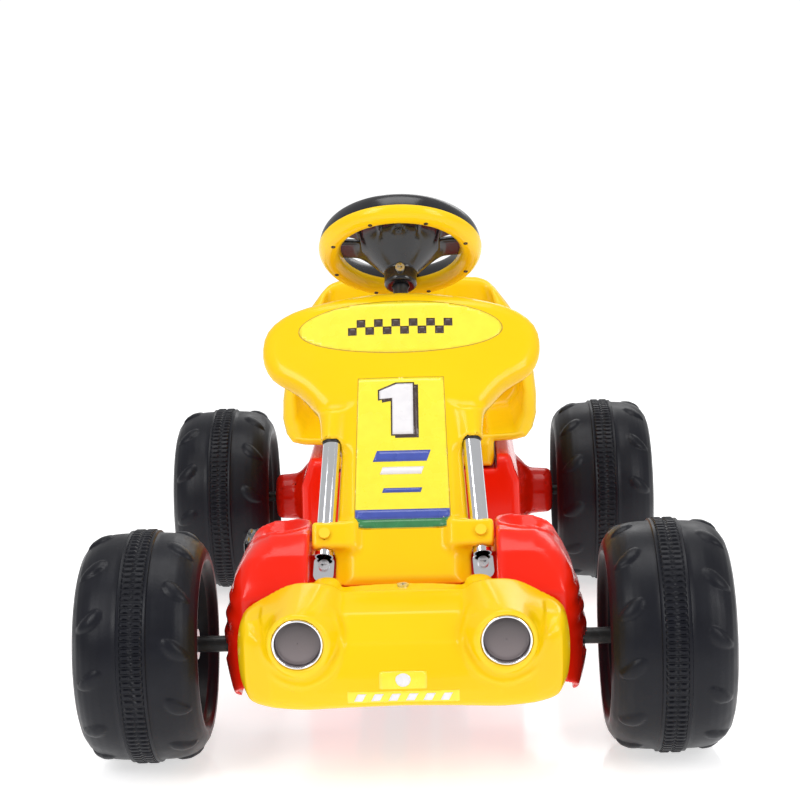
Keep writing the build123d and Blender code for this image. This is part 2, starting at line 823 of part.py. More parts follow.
with BuildPart() as headlight_ring:
    add(ring(lamp_plane(1), lamp_outer, lens_radius, lens_back + 2, lamp_lip))
save_pair(headlight_ring, "headlight_ring")

with BuildPart() as headlight_lens:
    add(bar(lamp_plane(1), lens_radius, lens_back, lens_front))
save_pair(headlight_lens, "headlight_lens")

# ---- Seat ----

seat_wall = 4.0
seat_front = 396.0
seat_floor_top = seat_base_top + seat_wall
seat_bolt_head = (7.0, 3.0)  # radius and height of the countersunk head, flush with the seat's floor
seat_bolt_length = 20.0


def seat_form(inset):
    """Bucket seat's outer form, or the space inside it, open above."""
    above = 60 * (inset > 0)
    section = both_sides(
        [
            (0, seat_base_top), (seat_foot_half_width, seat_base_top),
            (seat_foot_half_width, seat_rail_top + 12), (136, seat_rail_top + 14), (153, 246),
            (155, 270), (151, 304), (126, 356), (92, seat_top + above), (0, seat_top + above),
        ]
    )
    side = [
        (at(seat_front), seat_base_top),
        (at(578), seat_base_top),
        (at(596), 226),
        (at(630), seat_top),
    ]
    if inset:
        side = side + [(at(640), seat_top + above), (at(seat_front), seat_top + above)]
    else:
        side = side + [(at(600), seat_top), (at(560), 318), (at(500), 262), (at(430), 236)]
        side = side + [(at(seat_front), 232)]
    return prism(front_view, section, -far, far, inset, 12) & prism(side_view, side, -far, far, inset)


def bolt_form(side):
    """Countersunk bolt, its flat head level with the seat's floor."""
    radius, height = seat_bolt_head
    top = Plane(origin=(side * seat_bolt_x, at(seat_bolt_station), seat_floor_top))
    with BuildPart() as made:
        with BuildSketch(top):
            Circle(radius)
        with BuildSketch(top.offset(-height)):
            Circle(seat_bolt_radius)
        loft()
    return made.part + bar(top, seat_bolt_radius, -seat_bolt_length, -height)


with BuildPart() as seat:
    add(seat_form(0))
    add(seat_form(seat_wall), mode=Mode.SUBTRACT)
    for side in (-1, 1):
        add(bolt_form(side), mode=Mode.SUBTRACT)
save(seat, "seat")

with BuildPart() as seat_bolt:
    add(bolt_form(1))
save_pair(seat_bolt, "seat_bolt")

# ---- Drive: crank, sprockets, chain, rear axle ----

roller_radius = 4.0
tooth_rise = 3.0  # of the teeth over the pitch circle
tooth_shares = ((-0.26, False), (-0.10, True), (0.10, True), (0.26, False))  # of the pitch; at its tip
front_hub_radius = 14.0
rear_hub_radius = 13.0
sprocket_hub_half = 9.0
chain_clear = 0.6  # outside the teeth
chain_thickness = 7.4


def pitch_radius(teeth):
    """Radius of the circle through a sprocket's chain rollers."""
    return chain_pitch / (2 * sin(pi / teeth))


def tip_radius(teeth):
    """Radius over a sprocket's teeth."""
    return pitch_radius(teeth) + tooth_rise


def sprocket(axis_plane, teeth, bore, hub_radius):
    """Chain sprocket with a hub, its teeth in the chain's plane."""
    root = pitch_radius(teeth) - roller_radius
    step = 2 * pi / teeth
    points = []
    for index in range(teeth):
        for share, at_tip in tooth_shares:
            radius = tip_radius(teeth) if at_tip else root
            angle = (index + share) * step
            points.append((radius * cos(angle), radius * sin(angle)))
    half = sprocket_thickness / 2
    made = prism(axis_plane, points, chain_x - half, chain_x + half)
    made = made + bar(axis_plane, hub_radius, chain_x - sprocket_hub_half, chain_x + sprocket_hub_half)
    return made - bar(axis_plane, bore, -far, far)


def chain_loop(extra):
    """Solid loop around both sprockets, a margin outside their teeth."""
    dy, dz = rear_y - crank_y, wheel_radius - crank_height
    r1, r2 = tip_radius(front_teeth) + extra, tip_radius(rear_teeth) + extra
    heading = atan2(dz, dy)
    spread = acos((r1 - r2) / sqrt(dy * dy + dz * dz))
    front, rear = (crank_y, crank_height, r1), (rear_y, wheel_radius, r2)
    corners = []
    for turn, (y, z, radius) in ((spread, front), (spread, rear), (-spread, rear), (-spread, front)):
        corners.append((y + radius * cos(heading + turn), z + radius * sin(heading + turn)))
    near, far_end = chain_x - chain_width / 2, chain_x + chain_width / 2
    return (prism(side_view, corners, near, far_end) + bar(crank_axis, r1, near, far_end)
            + bar(axle_axis, r2, near, far_end))


with BuildPart() as drive_chain:
    add(chain_loop(chain_clear + chain_thickness))
    add(chain_loop(chain_clear), mode=Mode.SUBTRACT)
save(drive_chain, "drive_chain")

with BuildPart() as front_sprocket:
    add(sprocket(crank_axis, front_teeth, spindle_radius, front_hub_radius))
save(front_sprocket, "front_sprocket")

with BuildPart() as rear_sprocket:
    add(sprocket(axle_axis, rear_teeth, rear_axle_radius, rear_hub_radius))
save(rear_sprocket, "rear_sprocket")

crank_arm_inner = tunnel_half_width + gap
crank_arm_thickness = 8.0
crank_arm_width = 22.0


def pedal_place(side):
    """(y, z) of a pedal's pin; the right one is forward and up."""
    reach_y = side * crank_radius * cos(radians(crank_angle))
    reach_z = -side * crank_radius * sin(radians(crank_angle))
    return crank_y + reach_y, crank_height + reach_z


pedal_outer = pedal_inner_x + pedal_length
pedal_end_wall = 2.5

with BuildPart() as pedal_crank:
    add(bar(crank_axis, spindle_radius, -crank_arm_inner - 1, crank_arm_inner + 1))
    for side in (-1, 1):
        y, z = pedal_place(side)
        lengthwise = atan2(z - crank_height, y - crank_y) * 180 / pi
        with BuildSketch(side_view.offset(side * crank_arm_inner)):
            with Locations(((crank_y + y) / 2, (crank_height + z) / 2)):
                SlotOverall(crank_radius + crank_arm_width, crank_arm_width, rotation=lengthwise)
        extrude(amount=side * crank_arm_thickness)
        ends = sorted((side * crank_arm_inner, side * (pedal_outer - pedal_end_wall - 0.5)))
        add(bar(along_x(y, z), pedal_pin_radius, *ends))
save(pedal_crank, "pedal_crank")

pedal_half_chord = 27.0
pedal_half_thickness = 9.0
pedal_bevel = 4.0
pocket_depth = 14.0
pocket_half_width = 7.0
pocket_from_pin = 16.5
pedal_rib = 6.0

for side, name in ((1, "pedal_left"), (-1, "pedal_right")):
    y, z = pedal_place(side)
    pin_line = along_x(y, z)
    c, t, v = pedal_half_chord, pedal_half_thickness, pedal_bevel
    near, end = sorted((side * pedal_inner_x, side * pedal_outer))
    bore = sorted((side * (pedal_inner_x - 1), side * (pedal_outer - pedal_end_wall)))
    pocket_length = (pedal_length - 3 * pedal_rib) / 2
    with BuildPart() as pedal:
        half = [(-c, v - t), (v - c, -t), (c - v, -t), (c, v - t)]
        add(prism(pin_line, half + [(-a, -b) for a, b in half], near, end))
        for middle_y in (y - pocket_from_pin, y + pocket_from_pin):  # either side of the pin
            for low_x in (near + pedal_rib, near + 2 * pedal_rib + pocket_length):
                low = (low_x, middle_y - pocket_half_width, z + t - pocket_depth)
                high = (low_x + pocket_length, middle_y + pocket_half_width, z + t)
                add(block(low, high), mode=Mode.SUBTRACT)
        add(bar(pin_line, pedal_pin_radius + fit_clearance, *bore), mode=Mode.SUBTRACT)
    save(pedal, name)

rear_wheel_x = rear_track / 2
rear_nut_across = 19.0
drive_pin_radius = 2.5
drive_pin_half = 17.0
drive_pin_x = rear_wheel_x + hub_face - drive_pin_radius
drive_pin_plane = Plane(origin=(drive_pin_x, rear_y, wheel_radius), z_dir=(0, 0, 1))

with BuildPart() as rear_axle:
    reach = rear_wheel_x + hub_face + nut_height + axle_tip
    add(bar(axle_axis, rear_axle_radius, -reach, reach))
    add(bar(drive_pin_plane, drive_pin_radius, -drive_pin_half, drive_pin_half), mode=Mode.SUBTRACT)
save(rear_axle, "rear_axle")

with BuildPart() as drive_pin:
    add(bar(drive_pin_plane, drive_pin_radius, -drive_pin_half, drive_pin_half))
save(drive_pin, "drive_pin")

with BuildPart() as rear_axle_nut:
    add(hexagon_nut(axle_axis, rear_nut_across, rear_axle_radius, rear_wheel_x + hub_face + gap, nut_height))
save_pair(rear_axle_nut, "rear_axle_nut")

# ---- Wheels: hollow, tyre and rim in one ----

hub_radius = 24.0
dish_depth = 30.0
band_half_width = 10.0
band_rise = 2.0
cap_reach = 13.0
cap_wall = 3.0


def road_wheel(axis_plane, x, bore):
    """Hollow moulded wheel centred at x on an axis."""
    h, crown = half_wheel, wheel_radius - band_rise
    right = [
        (band_half_width, wheel_radius), (band_half_width, crown), (32, crown), (48, 108.5), (58, 99),
        (h, 88), (h - 6, 80), (dish_depth, 74), (dish_depth, hub_radius + 2), (hub_face, hub_radius),
    ]
    left = [(-w, r) for w, r in reversed(right)]
    outline = Plane(origin=axis_plane.origin + Vector(x, 0, 0), x_dir=(1, 0, 0), z_dir=(0, -1, 0))
    forms = []
    for inset in (0, wall):
        with BuildPart() as made:
            with BuildSketch(outline):
                with BuildLine():
                    Polyline(*left, *right, (hub_face, bore), (-hub_face, bore), close=True)
                make_face()
                if inset:
                    offset(amount=-inset, kind=Kind.INTERSECTION)
            revolve(axis=Axis(axis_plane.origin, (1, 0, 0)), revolution_arc=360)
        forms.append(made.part)
    return forms[0] - forms[1]


def hub_cap(axis_plane, x, side):
    """Cup over the axle's end, standing on the hub."""
    ends = sorted((x + side * hub_face, x + side * (hub_face + cap_reach)))
    inside = sorted((x + side * hub_face, x + side * (hub_face + cap_reach - cap_wall)))
    made = bar(axis_plane, hub_radius, *ends)
    return made - bar(axis_plane, hub_radius - cap_wall, *inside)


with BuildPart() as front_wheel:
    add(road_wheel(stub, front_wheel_x, stub_radius + fit_clearance))
save_pair(front_wheel, "front_wheel")

with BuildPart() as front_hub_cap:
    add(hub_cap(stub, front_wheel_x, 1))
save_pair(front_hub_cap, "front_hub_cap")

with BuildPart() as rear_wheel_left:  # driven: the pin through the axle lies in a slot across the hub
    add(road_wheel(axle_axis, rear_wheel_x, rear_axle_radius + fit_clearance))
    add(bar(drive_pin_plane, drive_pin_radius, -drive_pin_half, drive_pin_half), mode=Mode.SUBTRACT)
    low = (drive_pin_x, rear_y - drive_pin_radius, wheel_radius - drive_pin_half)
    high = (rear_wheel_x + hub_face + 1, rear_y + drive_pin_radius, wheel_radius + drive_pin_half)
    add(block(low, high), mode=Mode.SUBTRACT)
save(rear_wheel_left, "rear_wheel_left")

with BuildPart() as rear_wheel_right:  # free on the axle
    add(road_wheel(axle_axis, -rear_wheel_x, rear_axle_radius + fit_clearance))
save(rear_wheel_right, "rear_wheel_right")

with BuildPart() as rear_hub_cap:
    add(hub_cap(axle_axis, rear_wheel_x, 1))
save_pair(rear_hub_cap, "rear_hub_cap")
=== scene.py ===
"""Pedal go kart: moulded plastic body, tyres, stickers, studio and camera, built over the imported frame.

Shapes are worked out in millimetres in the row frame. A station is a distance behind the front axle.
"""

import json
import math

import bmesh
import bpy
import numpy as np
from mathutils import Matrix, Vector

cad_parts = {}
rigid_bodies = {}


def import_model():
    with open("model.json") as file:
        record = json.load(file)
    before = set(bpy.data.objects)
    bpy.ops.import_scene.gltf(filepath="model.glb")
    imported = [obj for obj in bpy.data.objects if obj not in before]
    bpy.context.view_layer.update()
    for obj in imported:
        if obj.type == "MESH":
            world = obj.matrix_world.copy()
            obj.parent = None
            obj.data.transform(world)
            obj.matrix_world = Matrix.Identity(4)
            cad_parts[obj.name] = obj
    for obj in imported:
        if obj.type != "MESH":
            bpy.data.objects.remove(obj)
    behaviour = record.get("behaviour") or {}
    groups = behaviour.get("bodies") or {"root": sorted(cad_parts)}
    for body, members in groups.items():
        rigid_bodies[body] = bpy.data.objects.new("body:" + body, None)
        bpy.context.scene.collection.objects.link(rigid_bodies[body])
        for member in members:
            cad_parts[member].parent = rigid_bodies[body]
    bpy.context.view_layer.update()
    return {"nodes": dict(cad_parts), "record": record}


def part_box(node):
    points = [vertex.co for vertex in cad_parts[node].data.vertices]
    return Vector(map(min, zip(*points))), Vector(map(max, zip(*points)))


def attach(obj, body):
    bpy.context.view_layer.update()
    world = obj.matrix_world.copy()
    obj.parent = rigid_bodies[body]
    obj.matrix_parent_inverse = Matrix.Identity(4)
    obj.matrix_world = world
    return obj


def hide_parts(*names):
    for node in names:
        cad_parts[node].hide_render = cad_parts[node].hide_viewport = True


for leftover in list(bpy.data.objects):
    bpy.data.objects.remove(leftover)
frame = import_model()


def node_box(node):
    """Lowest and highest corner of a CAD node, in millimetres."""
    low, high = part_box(node)
    return np.array(low) * 1000, np.array(high) * 1000


# ---- Places taken from the frame ----

front_low, front_high = node_box("front_wheel_left")
rear_low, rear_high = node_box("rear_wheel_left")
body_low, body_high = node_box("front_body")
tunnel_low, tunnel_high = node_box("centre_tunnel")
base_low, base_high = node_box("seat_base")
seat_low, seat_high = node_box("seat")
bumper_low, bumper_high = node_box("front_bumper")
lamp_low, lamp_high = node_box("headlight_ring_left")
joints = {joint["name"]: joint for joint in frame["record"]["behaviour"]["joints"]}

front_y = (front_low[1] + front_high[1]) / 2
rear_station = (rear_low[1] + rear_high[1]) / 2 - front_y
wheel_radius = (front_high[2] - front_low[2]) / 2
front_wheel_x = (front_low[0] + front_high[0]) / 2
rear_wheel_x = (rear_low[0] + rear_high[0]) / 2

column_foot = np.array(joints["steering_turn"]["pos_m"]) * 1000
up_slope = np.array(joints["steering_turn"]["axis"])
off_face = np.array([0.0, -up_slope[2], up_slope[1]])
column_depth = 38.4  # the column's axis lies this far behind the fairing's face
fairing_foot = column_foot + off_face * column_depth
rim_at = 391.0
rim_middle = column_foot + up_slope * rim_at

tube_radius = 9.0
tube_foot_x = 79.0
tube_lean = 0.06
tube_depth = tube_radius - 2
floor_top = 176.5
deck_top = 200.0
deck_half_width = 91.0
shoulder_top = body_high[2]


# ---- Fields: distances in millimetres, negative inside ----


def smooth_max(a, b, k):
    """Larger of two fields, with a rounded edge about k wide where they meet."""
    h = np.clip(0.5 + 0.5 * (a - b) / k, 0, 1)
    return b + (a - b) * h + k * h * (1 - h)


def smooth_min(a, b, k):
    """Smaller of two fields, with a fillet about k wide where they meet."""
    return -smooth_max(-a, -b, k)


def step_between(value, low, high):
    """0 below low, 1 above high, smooth between."""
    t = np.clip((value - low) / (high - low), 0, 1)
    return t * t * (3 - 2 * t)


def polygon(px, py, points):
    """Distance to a closed outline."""
    nearest = np.full(px.shape, 1e12)
    sign = np.ones(px.shape)
    for (ax, ay), (bx, by) in zip(points, points[1:] + points[:1]):
        ex, ey = bx - ax, by - ay
        wx, wy = px - ax, py - ay
        t = np.clip((wx * ex + wy * ey) / (ex * ex + ey * ey), 0, 1)
        nearest = np.minimum(nearest, (wx - ex * t) ** 2 + (wy - ey * t) ** 2)
        above, below, left = py >= ay, py < by, ex * wy > ey * wx
        crossing = (above & below & left) | (~above & ~below & ~left)
        sign = np.where(crossing, -sign, sign)
    return sign * np.sqrt(nearest)


def box_field(x, y, z, low, high, rounding):
    """Box with rounded edges."""
    middle = [(a + b) / 2 for a, b in zip(low, high)]
    half = [(b - a) / 2 - rounding for a, b in zip(low, high)]
    qx, qy, qz = abs(x - middle[0]) - half[0], abs(y - middle[1]) - half[1], abs(z - middle[2]) - half[2]
    outside = np.sqrt(np.maximum(qx, 0) ** 2 + np.maximum(qy, 0) ** 2 + np.maximum(qz, 0) ** 2)
    return outside + np.minimum(np.maximum(np.maximum(qx, qy), qz), 0) - rounding


def capsule(x, y, z, start, end, radius, end_radius=None):
    """Round-ended bar between two points, tapering if end_radius is given."""
    start, end = np.array(start, float), np.array(end, float)
    along = end - start
    px, py, pz = x - start[0], y - start[1], z - start[2]
    t = np.clip((px * along[0] + py * along[1] + pz * along[2]) / along.dot(along), 0, 1)
    gone = np.sqrt((px - along[0] * t) ** 2 + (py - along[1] * t) ** 2 + (pz - along[2] * t) ** 2)
    return gone - (radius if end_radius is None else radius + (end_radius - radius) * t)


def spline(points, steps=6):
    """Smooth closed outline through the given points."""
    points = np.array(points, float)
    count = len(points)
    made = []
    for i in range(count):
        p0, p1, p2, p3 = (points[(i + j) % count] for j in (-1, 0, 1, 2))
        for t in np.arange(steps) / steps:
            made.append(
                tuple(0.5 * (2 * p1 + (p2 - p0) * t + (2 * p0 - 5 * p1 + 4 * p2 - p3) * t**2
                             + (3 * p1 - p0 - 3 * p2 + p3) * t**3))
            )
    return made


# ---- Meshes ----


def finish_piece(piece, body, replaced=(), material=None):
    """Gives a piece its body, finish and the CAD nodes that it stands for."""
    if material is not None:
        piece.data.materials.clear()
        piece.data.materials.append(material)
    if replaced:
        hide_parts(*replaced)
    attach(piece, body)
    return piece


def mesh_object(name, points, faces, sharp=None):
    """Object from points in millimetres; sharp is the angle above which an edge stays crisp."""
    mesh = bpy.data.meshes.new(name)
    corners = [tuple(face) for face in np.asarray(faces).tolist()]
    mesh.from_pydata((np.asarray(points) * 0.001).tolist(), [], corners)
    mesh.validate()
    mesh.shade_smooth()
    if sharp is not None:
        mesh.set_sharp_from_angle(angle=math.radians(sharp))
    piece = bpy.data.objects.new(name, mesh)
    bpy.context.scene.collection.objects.link(piece)
    return piece


def field_normals(field, points, step=0.3):
    """Gradient of a field at points."""
    x, y, z = points.T
    gradient = np.stack(
        [
            field(x + step, y, z) - field(x - step, y, z),
            field(x, y + step, z) - field(x, y - step, z),
            field(x, y, z + step) - field(x, y, z - step),
        ],
        axis=1,
    )
    return gradient / (2 * step)


def onto_surface(field, points, reach, rounds=3):
    """Moves points along the gradient to where a field is zero, each by at most reach a round."""
    for _ in range(rounds):
        gradient = field_normals(field, points)
        length2 = np.maximum((gradient**2).sum(axis=1), 0.05)
        move = -(field(*points.T) / length2)[:, None] * gradient
        size = np.linalg.norm(move, axis=1, keepdims=True)
        points = points + move * np.minimum(1, reach / np.maximum(size, 1e-9))
    return points


def surface(name, field, low, high, pitch):
    """Quad mesh of a field's zero surface, one point in each cell that it passes through."""
    low, high = np.array(low, float) - 1.6 * pitch, np.array(high, float) + 1.6 * pitch
    count = np.ceil((high - low) / pitch).astype(int) + 1
    axes = [low[i] + pitch * np.arange(count[i]) for i in range(3)]
    gx, gy, gz = np.meshgrid(*axes, indexing="ij")
    values = field(gx, gy, gz)
    inside = values < 0
    corner = [(i, j, k) for i in (0, 1) for j in (0, 1) for k in (0, 1)]

    def part(array, offset):
        return array[tuple(slice(o, array.shape[a] - 1 + o) for a, o in enumerate(offset))]

    total = sum(part(inside, c).astype(int) for c in corner)
    cells = np.argwhere((total > 0) & (total < 8))
    index = np.full(total.shape, -1)
    index[tuple(cells.T)] = np.arange(len(cells))
    summed, crossings = np.zeros((len(cells), 3)), np.zeros(len(cells))
    for axis in range(3):
        for start in [c for c in corner if c[axis] == 0]:
            end = tuple(1 if a == axis else v for a, v in enumerate(start))
            a = values[tuple((cells + start).T)]
            b = values[tuple((cells + end).T)]
            crosses = (a < 0) != (b < 0)
            share = np.where(crosses, a / np.where(a == b, 1, a - b), 0)
            place = np.array(start, float)[None] + share[:, None] * (np.array(end) - np.array(start))
            summed += place * crosses[:, None]
            crossings += crosses
    points = low + pitch * (cells + summed / crossings[:, None])
    faces = []
    for axis in range(3):
        u, v = [a for a in range(3) if a != axis]
        near = [slice(None)] * 3
        ahead = [slice(None)] * 3
        near[axis], ahead[axis] = slice(0, -1), slice(1, None)
        flips = inside[tuple(near)] != inside[tuple(ahead)]
        starts = np.argwhere(flips)
        starts = starts[(starts[:, u] > 0) & (starts[:, v] > 0)]
        starts = starts[(starts[:, u] < total.shape[u]) & (starts[:, v] < total.shape[v])]
        around = []
        for du, dv in ((-1, -1), (0, -1), (0, 0), (-1, 0)):
            cell = starts.copy()
            cell[:, u] += du
            cell[:, v] += dv
            around.append(index[tuple(cell.T)])
        quads = np.stack(around, axis=1)
        outward = inside[tuple(starts.T)] ^ (axis == 1)
        faces.append(np.where(outward[:, None], quads, quads[:, ::-1]))
    points = onto_surface(field, points, pitch * 0.4)
    return mesh_object(name, points, np.concatenate(faces))


def ring_faces(rows, columns, close_rows=True, close_columns=True):
    """Quads of a grid of points that may close on itself either way."""
    i = np.arange(rows if close_rows else rows - 1)[:, None]
    j = np.arange(columns if close_columns else columns - 1)[None]
    a = i * columns + j
    b = ((i + 1) % rows) * columns + j
    c = ((i + 1) % rows) * columns + (j + 1) % columns
    d = i * columns + (j + 1) % columns
    return np.stack([a, b, c, d], axis=-1).reshape(-1, 4)


def lathe(name, along, radius, origin, axis, side, sharp=35.0):
    """Turned piece: at each angle, a closed profile of distance along an axis and radius."""
    axis, side = np.array(axis, float), np.array(side, float)
    third = np.cross(axis, side)
    segments, places = np.broadcast(along, radius).shape
    along, radius = np.broadcast_to(along, (segments, places)), np.broadcast_to(radius, (segments, places))
    angle = (2 * np.pi * np.arange(segments) / segments)[:, None]
    out = np.cos(angle)[..., None] * side + np.sin(angle)[..., None] * third
    points = np.array(origin, float) + along[..., None] * axis + radius[..., None] * out
    return mesh_object(name, points.reshape(-1, 3), ring_faces(segments, places), sharp)


def turned(name, outline, spacing, segments, origin, axis, side=(1, 0, 0), sharp=35.0):
    """Round piece from one closed outline of distance along an axis and radius."""
    profile = resample(outline, spacing)
    every_turn = np.zeros((segments, 1))
    return lathe(name, profile[:, 0] + every_turn, profile[:, 1] + every_turn, origin, axis, side, sharp)


def resample(points, spacing):
    """Points at an even spacing along a closed outline, corners kept."""
    made = []
    points = [np.array(p, float) for p in points]
    for a, b in zip(points, points[1:] + points[:1]):
        pieces = max(1, int(round(np.linalg.norm(b - a) / spacing)))
        made.extend(a + (b - a) * t for t in np.arange(pieces) / pieces)
    return np.array(made)


# ---- Materials ----


class Nodes:
    """Short hand for building a material's node tree."""

    def __init__(self, name):
        self.material = bpy.data.materials.new(name)
        self.material.use_nodes = True
        self.tree = self.material.node_tree
        self.shader = self.tree.nodes["Principled BSDF"]
        self.place = self.tree.nodes.new("ShaderNodeTexCoord").outputs["Object"]

    def add(self, kind, inputs=None, **settings):
        """New node, with its settings and the values or links of its inputs."""
        node = self.tree.nodes.new(kind)
        for key, value in settings.items():
            setattr(node, key, value)
        for key, value in (inputs or {}).items():
            self.set(node.inputs[key], value)
        return node

    def set(self, socket, value):
        """Links or sets one socket."""
        if isinstance(value, bpy.types.NodeSocket):
            self.tree.links.new(value, socket)
        else:
            socket.default_value = value

    def paint(self, name, value):
        """Links or sets one socket of the shader."""
        self.set(self.shader.inputs[name], value)

    def noise(self, scale, detail=3.0, roughness=0.5, place=None):
        """Noise by place, from 0 to 1."""
        inputs = {"Vector": place or self.place, "Scale": scale, "Detail": detail, "Roughness": roughness}
        return self.add("ShaderNodeTexNoise", inputs).outputs["Fac"]

    def remap(self, value, low, high, to_low, to_high):
        """One range turned into another, clamped."""
        inputs = {"Value": value, "From Min": low, "From Max": high, "To Min": to_low, "To Max": to_high}
        return self.add("ShaderNodeMapRange", inputs).outputs["Result"]

    def blend(self, share, first, second):
        """Colour between two by a share."""
        node = self.add("ShaderNodeMix", data_type="RGBA")
        self.set(node.inputs[0], share)
        self.set(node.inputs[6], first)
        self.set(node.inputs[7], second)
        return node.outputs[2]

    def bump(self, height, distance, strength=1.0, before=None):
        """Normal from a height."""
        inputs = {"Height": height, "Distance": distance, "Strength": strength}
        if before is not None:
            inputs["Normal"] = before
        return self.add("ShaderNodeBump", inputs).outputs["Normal"]

    def edge_highlight_share(self, low, high):
        """How sharply the surface bends outward, from 0 to 1, for a painted highlight that pales convex
        edges.
        """
        pointy = self.add("ShaderNodeNewGeometry").outputs["Pointiness"]
        return self.remap(pointy, low, high, 0.0, 1.0)


def rgb(*values):
    """Colour with alpha."""
    return (*values, 1.0)


def gloss_plastic(name, colour, deep, roughness, coat=0.12, grain=0.00012):
    """Blow-moulded gloss plastic: slow colour drift, a painted highlight paling its convex edges, faint flow
    marks and an orange-peel skin.
    """
    nodes = Nodes(name)
    drift = nodes.remap(nodes.noise(7.0, 2.0), 0.3, 0.7, 0.0, 1.0)
    # Painted highlight: convex edges blend towards a paler, brighter colour.
    edges = nodes.edge_highlight_share(0.5, 0.56)
    colour = nodes.blend(drift, rgb(*colour), rgb(*deep))
    highlit_colour = nodes.blend(edges, colour, rgb(*[min(1.0, c * 1.1 + 0.02) for c in deep]))
    nodes.paint("Base Color", highlit_colour)
    scuffs = nodes.noise(60.0, 6.0, 0.7)
    nodes.paint("Roughness", nodes.remap(scuffs, 0.35, 0.75, roughness, roughness + 0.09))
    peel = nodes.bump(nodes.noise(140.0, 2.0), grain, 0.6)
    flow = nodes.bump(nodes.noise(18.0, 2.0), 0.0006, 0.35, peel)
    nodes.paint("Normal", flow)
    nodes.shader.inputs["Specular IOR Level"].default_value = 0.2
    nodes.shader.inputs["Coat Weight"].default_value = coat
    nodes.shader.inputs["Coat Roughness"].default_value = 0.06
    return nodes.material


def satin_black(name, colour, roughness, grain, scale, shine=0.55):
    """Black moulded plastic with a fine spark-eroded grain and random dusty patches."""
    nodes = Nodes(name)
    dust = nodes.remap(nodes.noise(30.0, 5.0, 0.65), 0.45, 0.8, 0.0, 0.5)
    colour_out = nodes.blend(dust, rgb(*colour), rgb(*[c * 1.6 + 0.001 for c in colour]))
    nodes.paint("Base Color", colour_out)
    patches = nodes.noise(45.0, 4.0)
    nodes.paint("Roughness", nodes.remap(patches, 0.3, 0.7, roughness - 0.06, roughness + 0.1))
    fine = nodes.bump(nodes.noise(scale, 2.0), grain, 0.7)
    nodes.paint("Normal", fine)
    nodes.shader.inputs["Specular IOR Level"].default_value = shine
    return nodes.material


def metal(name, colour, roughness, spread, streaks, scale):
    """Plated or drawn metal with streaks along its length and small stains."""
    nodes = Nodes(name)
    stretched = nodes.add("ShaderNodeMapping", {"Vector": nodes.place, "Scale": streaks}).outputs["Vector"]
    lines = nodes.noise(scale, 3.0, 0.6, stretched)
    stains = nodes.remap(nodes.noise(22.0, 5.0, 0.7), 0.5, 0.8, 0.0, 0.35)
    nodes.paint("Base Color", nodes.blend(stains, rgb(*colour), rgb(*[c * 0.72 for c in colour])))
    nodes.paint("Roughness", nodes.remap(lines, 0.3, 0.7, roughness, roughness + spread))
    nodes.paint("Normal", nodes.bump(lines, 0.00004, 0.5))
    nodes.shader.inputs["Metallic"].default_value = 1.0
    return nodes.material


def painted_steel(name, colour):
    """Black powder coat: pebbled, with greyer worn patches."""
    nodes = Nodes(name)
    worn = nodes.remap(nodes.noise(80.0, 4.0, 0.7), 0.55, 0.8, 0.0, 0.35)
    nodes.paint("Base Color", nodes.blend(worn, rgb(*colour), rgb(0.12, 0.12, 0.12)))
    nodes.paint("Roughness", nodes.remap(nodes.noise(150.0), 0.3, 0.7, 0.3, 0.48))
    nodes.paint("Normal", nodes.bump(nodes.noise(700.0, 1.0), 0.00008, 0.6))
    return nodes.material


def sticker(name, colour, second):
    """Printed vinyl: smooth, slightly uneven ink, faint bubbles."""
    nodes = Nodes(name)
    ink = nodes.remap(nodes.noise(90.0, 3.0), 0.35, 0.7, 0.0, 1.0)
    nodes.paint("Base Color", nodes.blend(ink, rgb(*colour), rgb(*second)))
    nodes.paint("Roughness", nodes.remap(nodes.noise(40.0, 4.0), 0.3, 0.7, 0.22, 0.34))
    nodes.paint("Normal", nodes.bump(nodes.noise(55.0, 2.0), 0.0002, 0.2))
    nodes.shader.inputs["Coat Weight"].default_value = 0.3
    return nodes.material


def lamp_face(name):
    """Grey lamp face with painted shade darkening it towards its top, and a fine grain bump."""
    nodes = Nodes(name)
    height = nodes.add("ShaderNodeSeparateXYZ", {"Vector": nodes.place}).outputs["Z"]
    low, high = lamp_low[2] / 1000, lamp_high[2] / 1000
    # Painted shade: the face's colour darkens from its bottom to its top.
    painted_top_shade = nodes.remap(height, low, high, 0.0, 1.0)
    nodes.paint("Base Color", nodes.blend(painted_top_shade, rgb(0.20, 0.16, 0.165), rgb(0.035, 0.028, 0.03)))
    nodes.paint("Roughness", nodes.remap(nodes.noise(90.0), 0.3, 0.7, 0.3, 0.4))
    nodes.paint("Normal", nodes.bump(nodes.noise(400.0, 2.0), 0.00005, 0.5))
    nodes.shader.inputs["Coat Weight"].default_value = 0.3
    return nodes.material


yellow = gloss_plastic("yellow_moulding", (0.95, 0.62, 0.003), (0.92, 0.565, 0.002), 0.17)
yellow_trim = gloss_plastic("yellow_trim", (0.95, 0.66, 0.02), (0.92, 0.58, 0.01), 0.2, 0.4)
red = gloss_plastic("red_moulding", (0.90, 0.017, 0.002), (0.80, 0.011, 0.001), 0.17)
orange = gloss_plastic("orange_cap", (0.90, 0.27, 0.01), (0.85, 0.22, 0.01), 0.25)
gloss_black = satin_black("gloss_black", (0.010, 0.010, 0.012), 0.20, 0.00005, 500.0)
tyre_black = satin_black("tyre_black", (0.006, 0.0065, 0.0105), 0.36, 0.00012, 420.0, 0.22)
plug_black = satin_black("plug_black", (0.008, 0.008, 0.008), 0.5, 0.0001, 500.0)
chrome = metal("chrome_tube", (0.86, 0.87, 0.90), 0.05, 0.08, (1.0, 0.25, 0.25), 160.0)
zinc = metal("zinc_plate", (0.74, 0.75, 0.77), 0.22, 0.18, (1.0, 1.0, 1.0), 260.0)
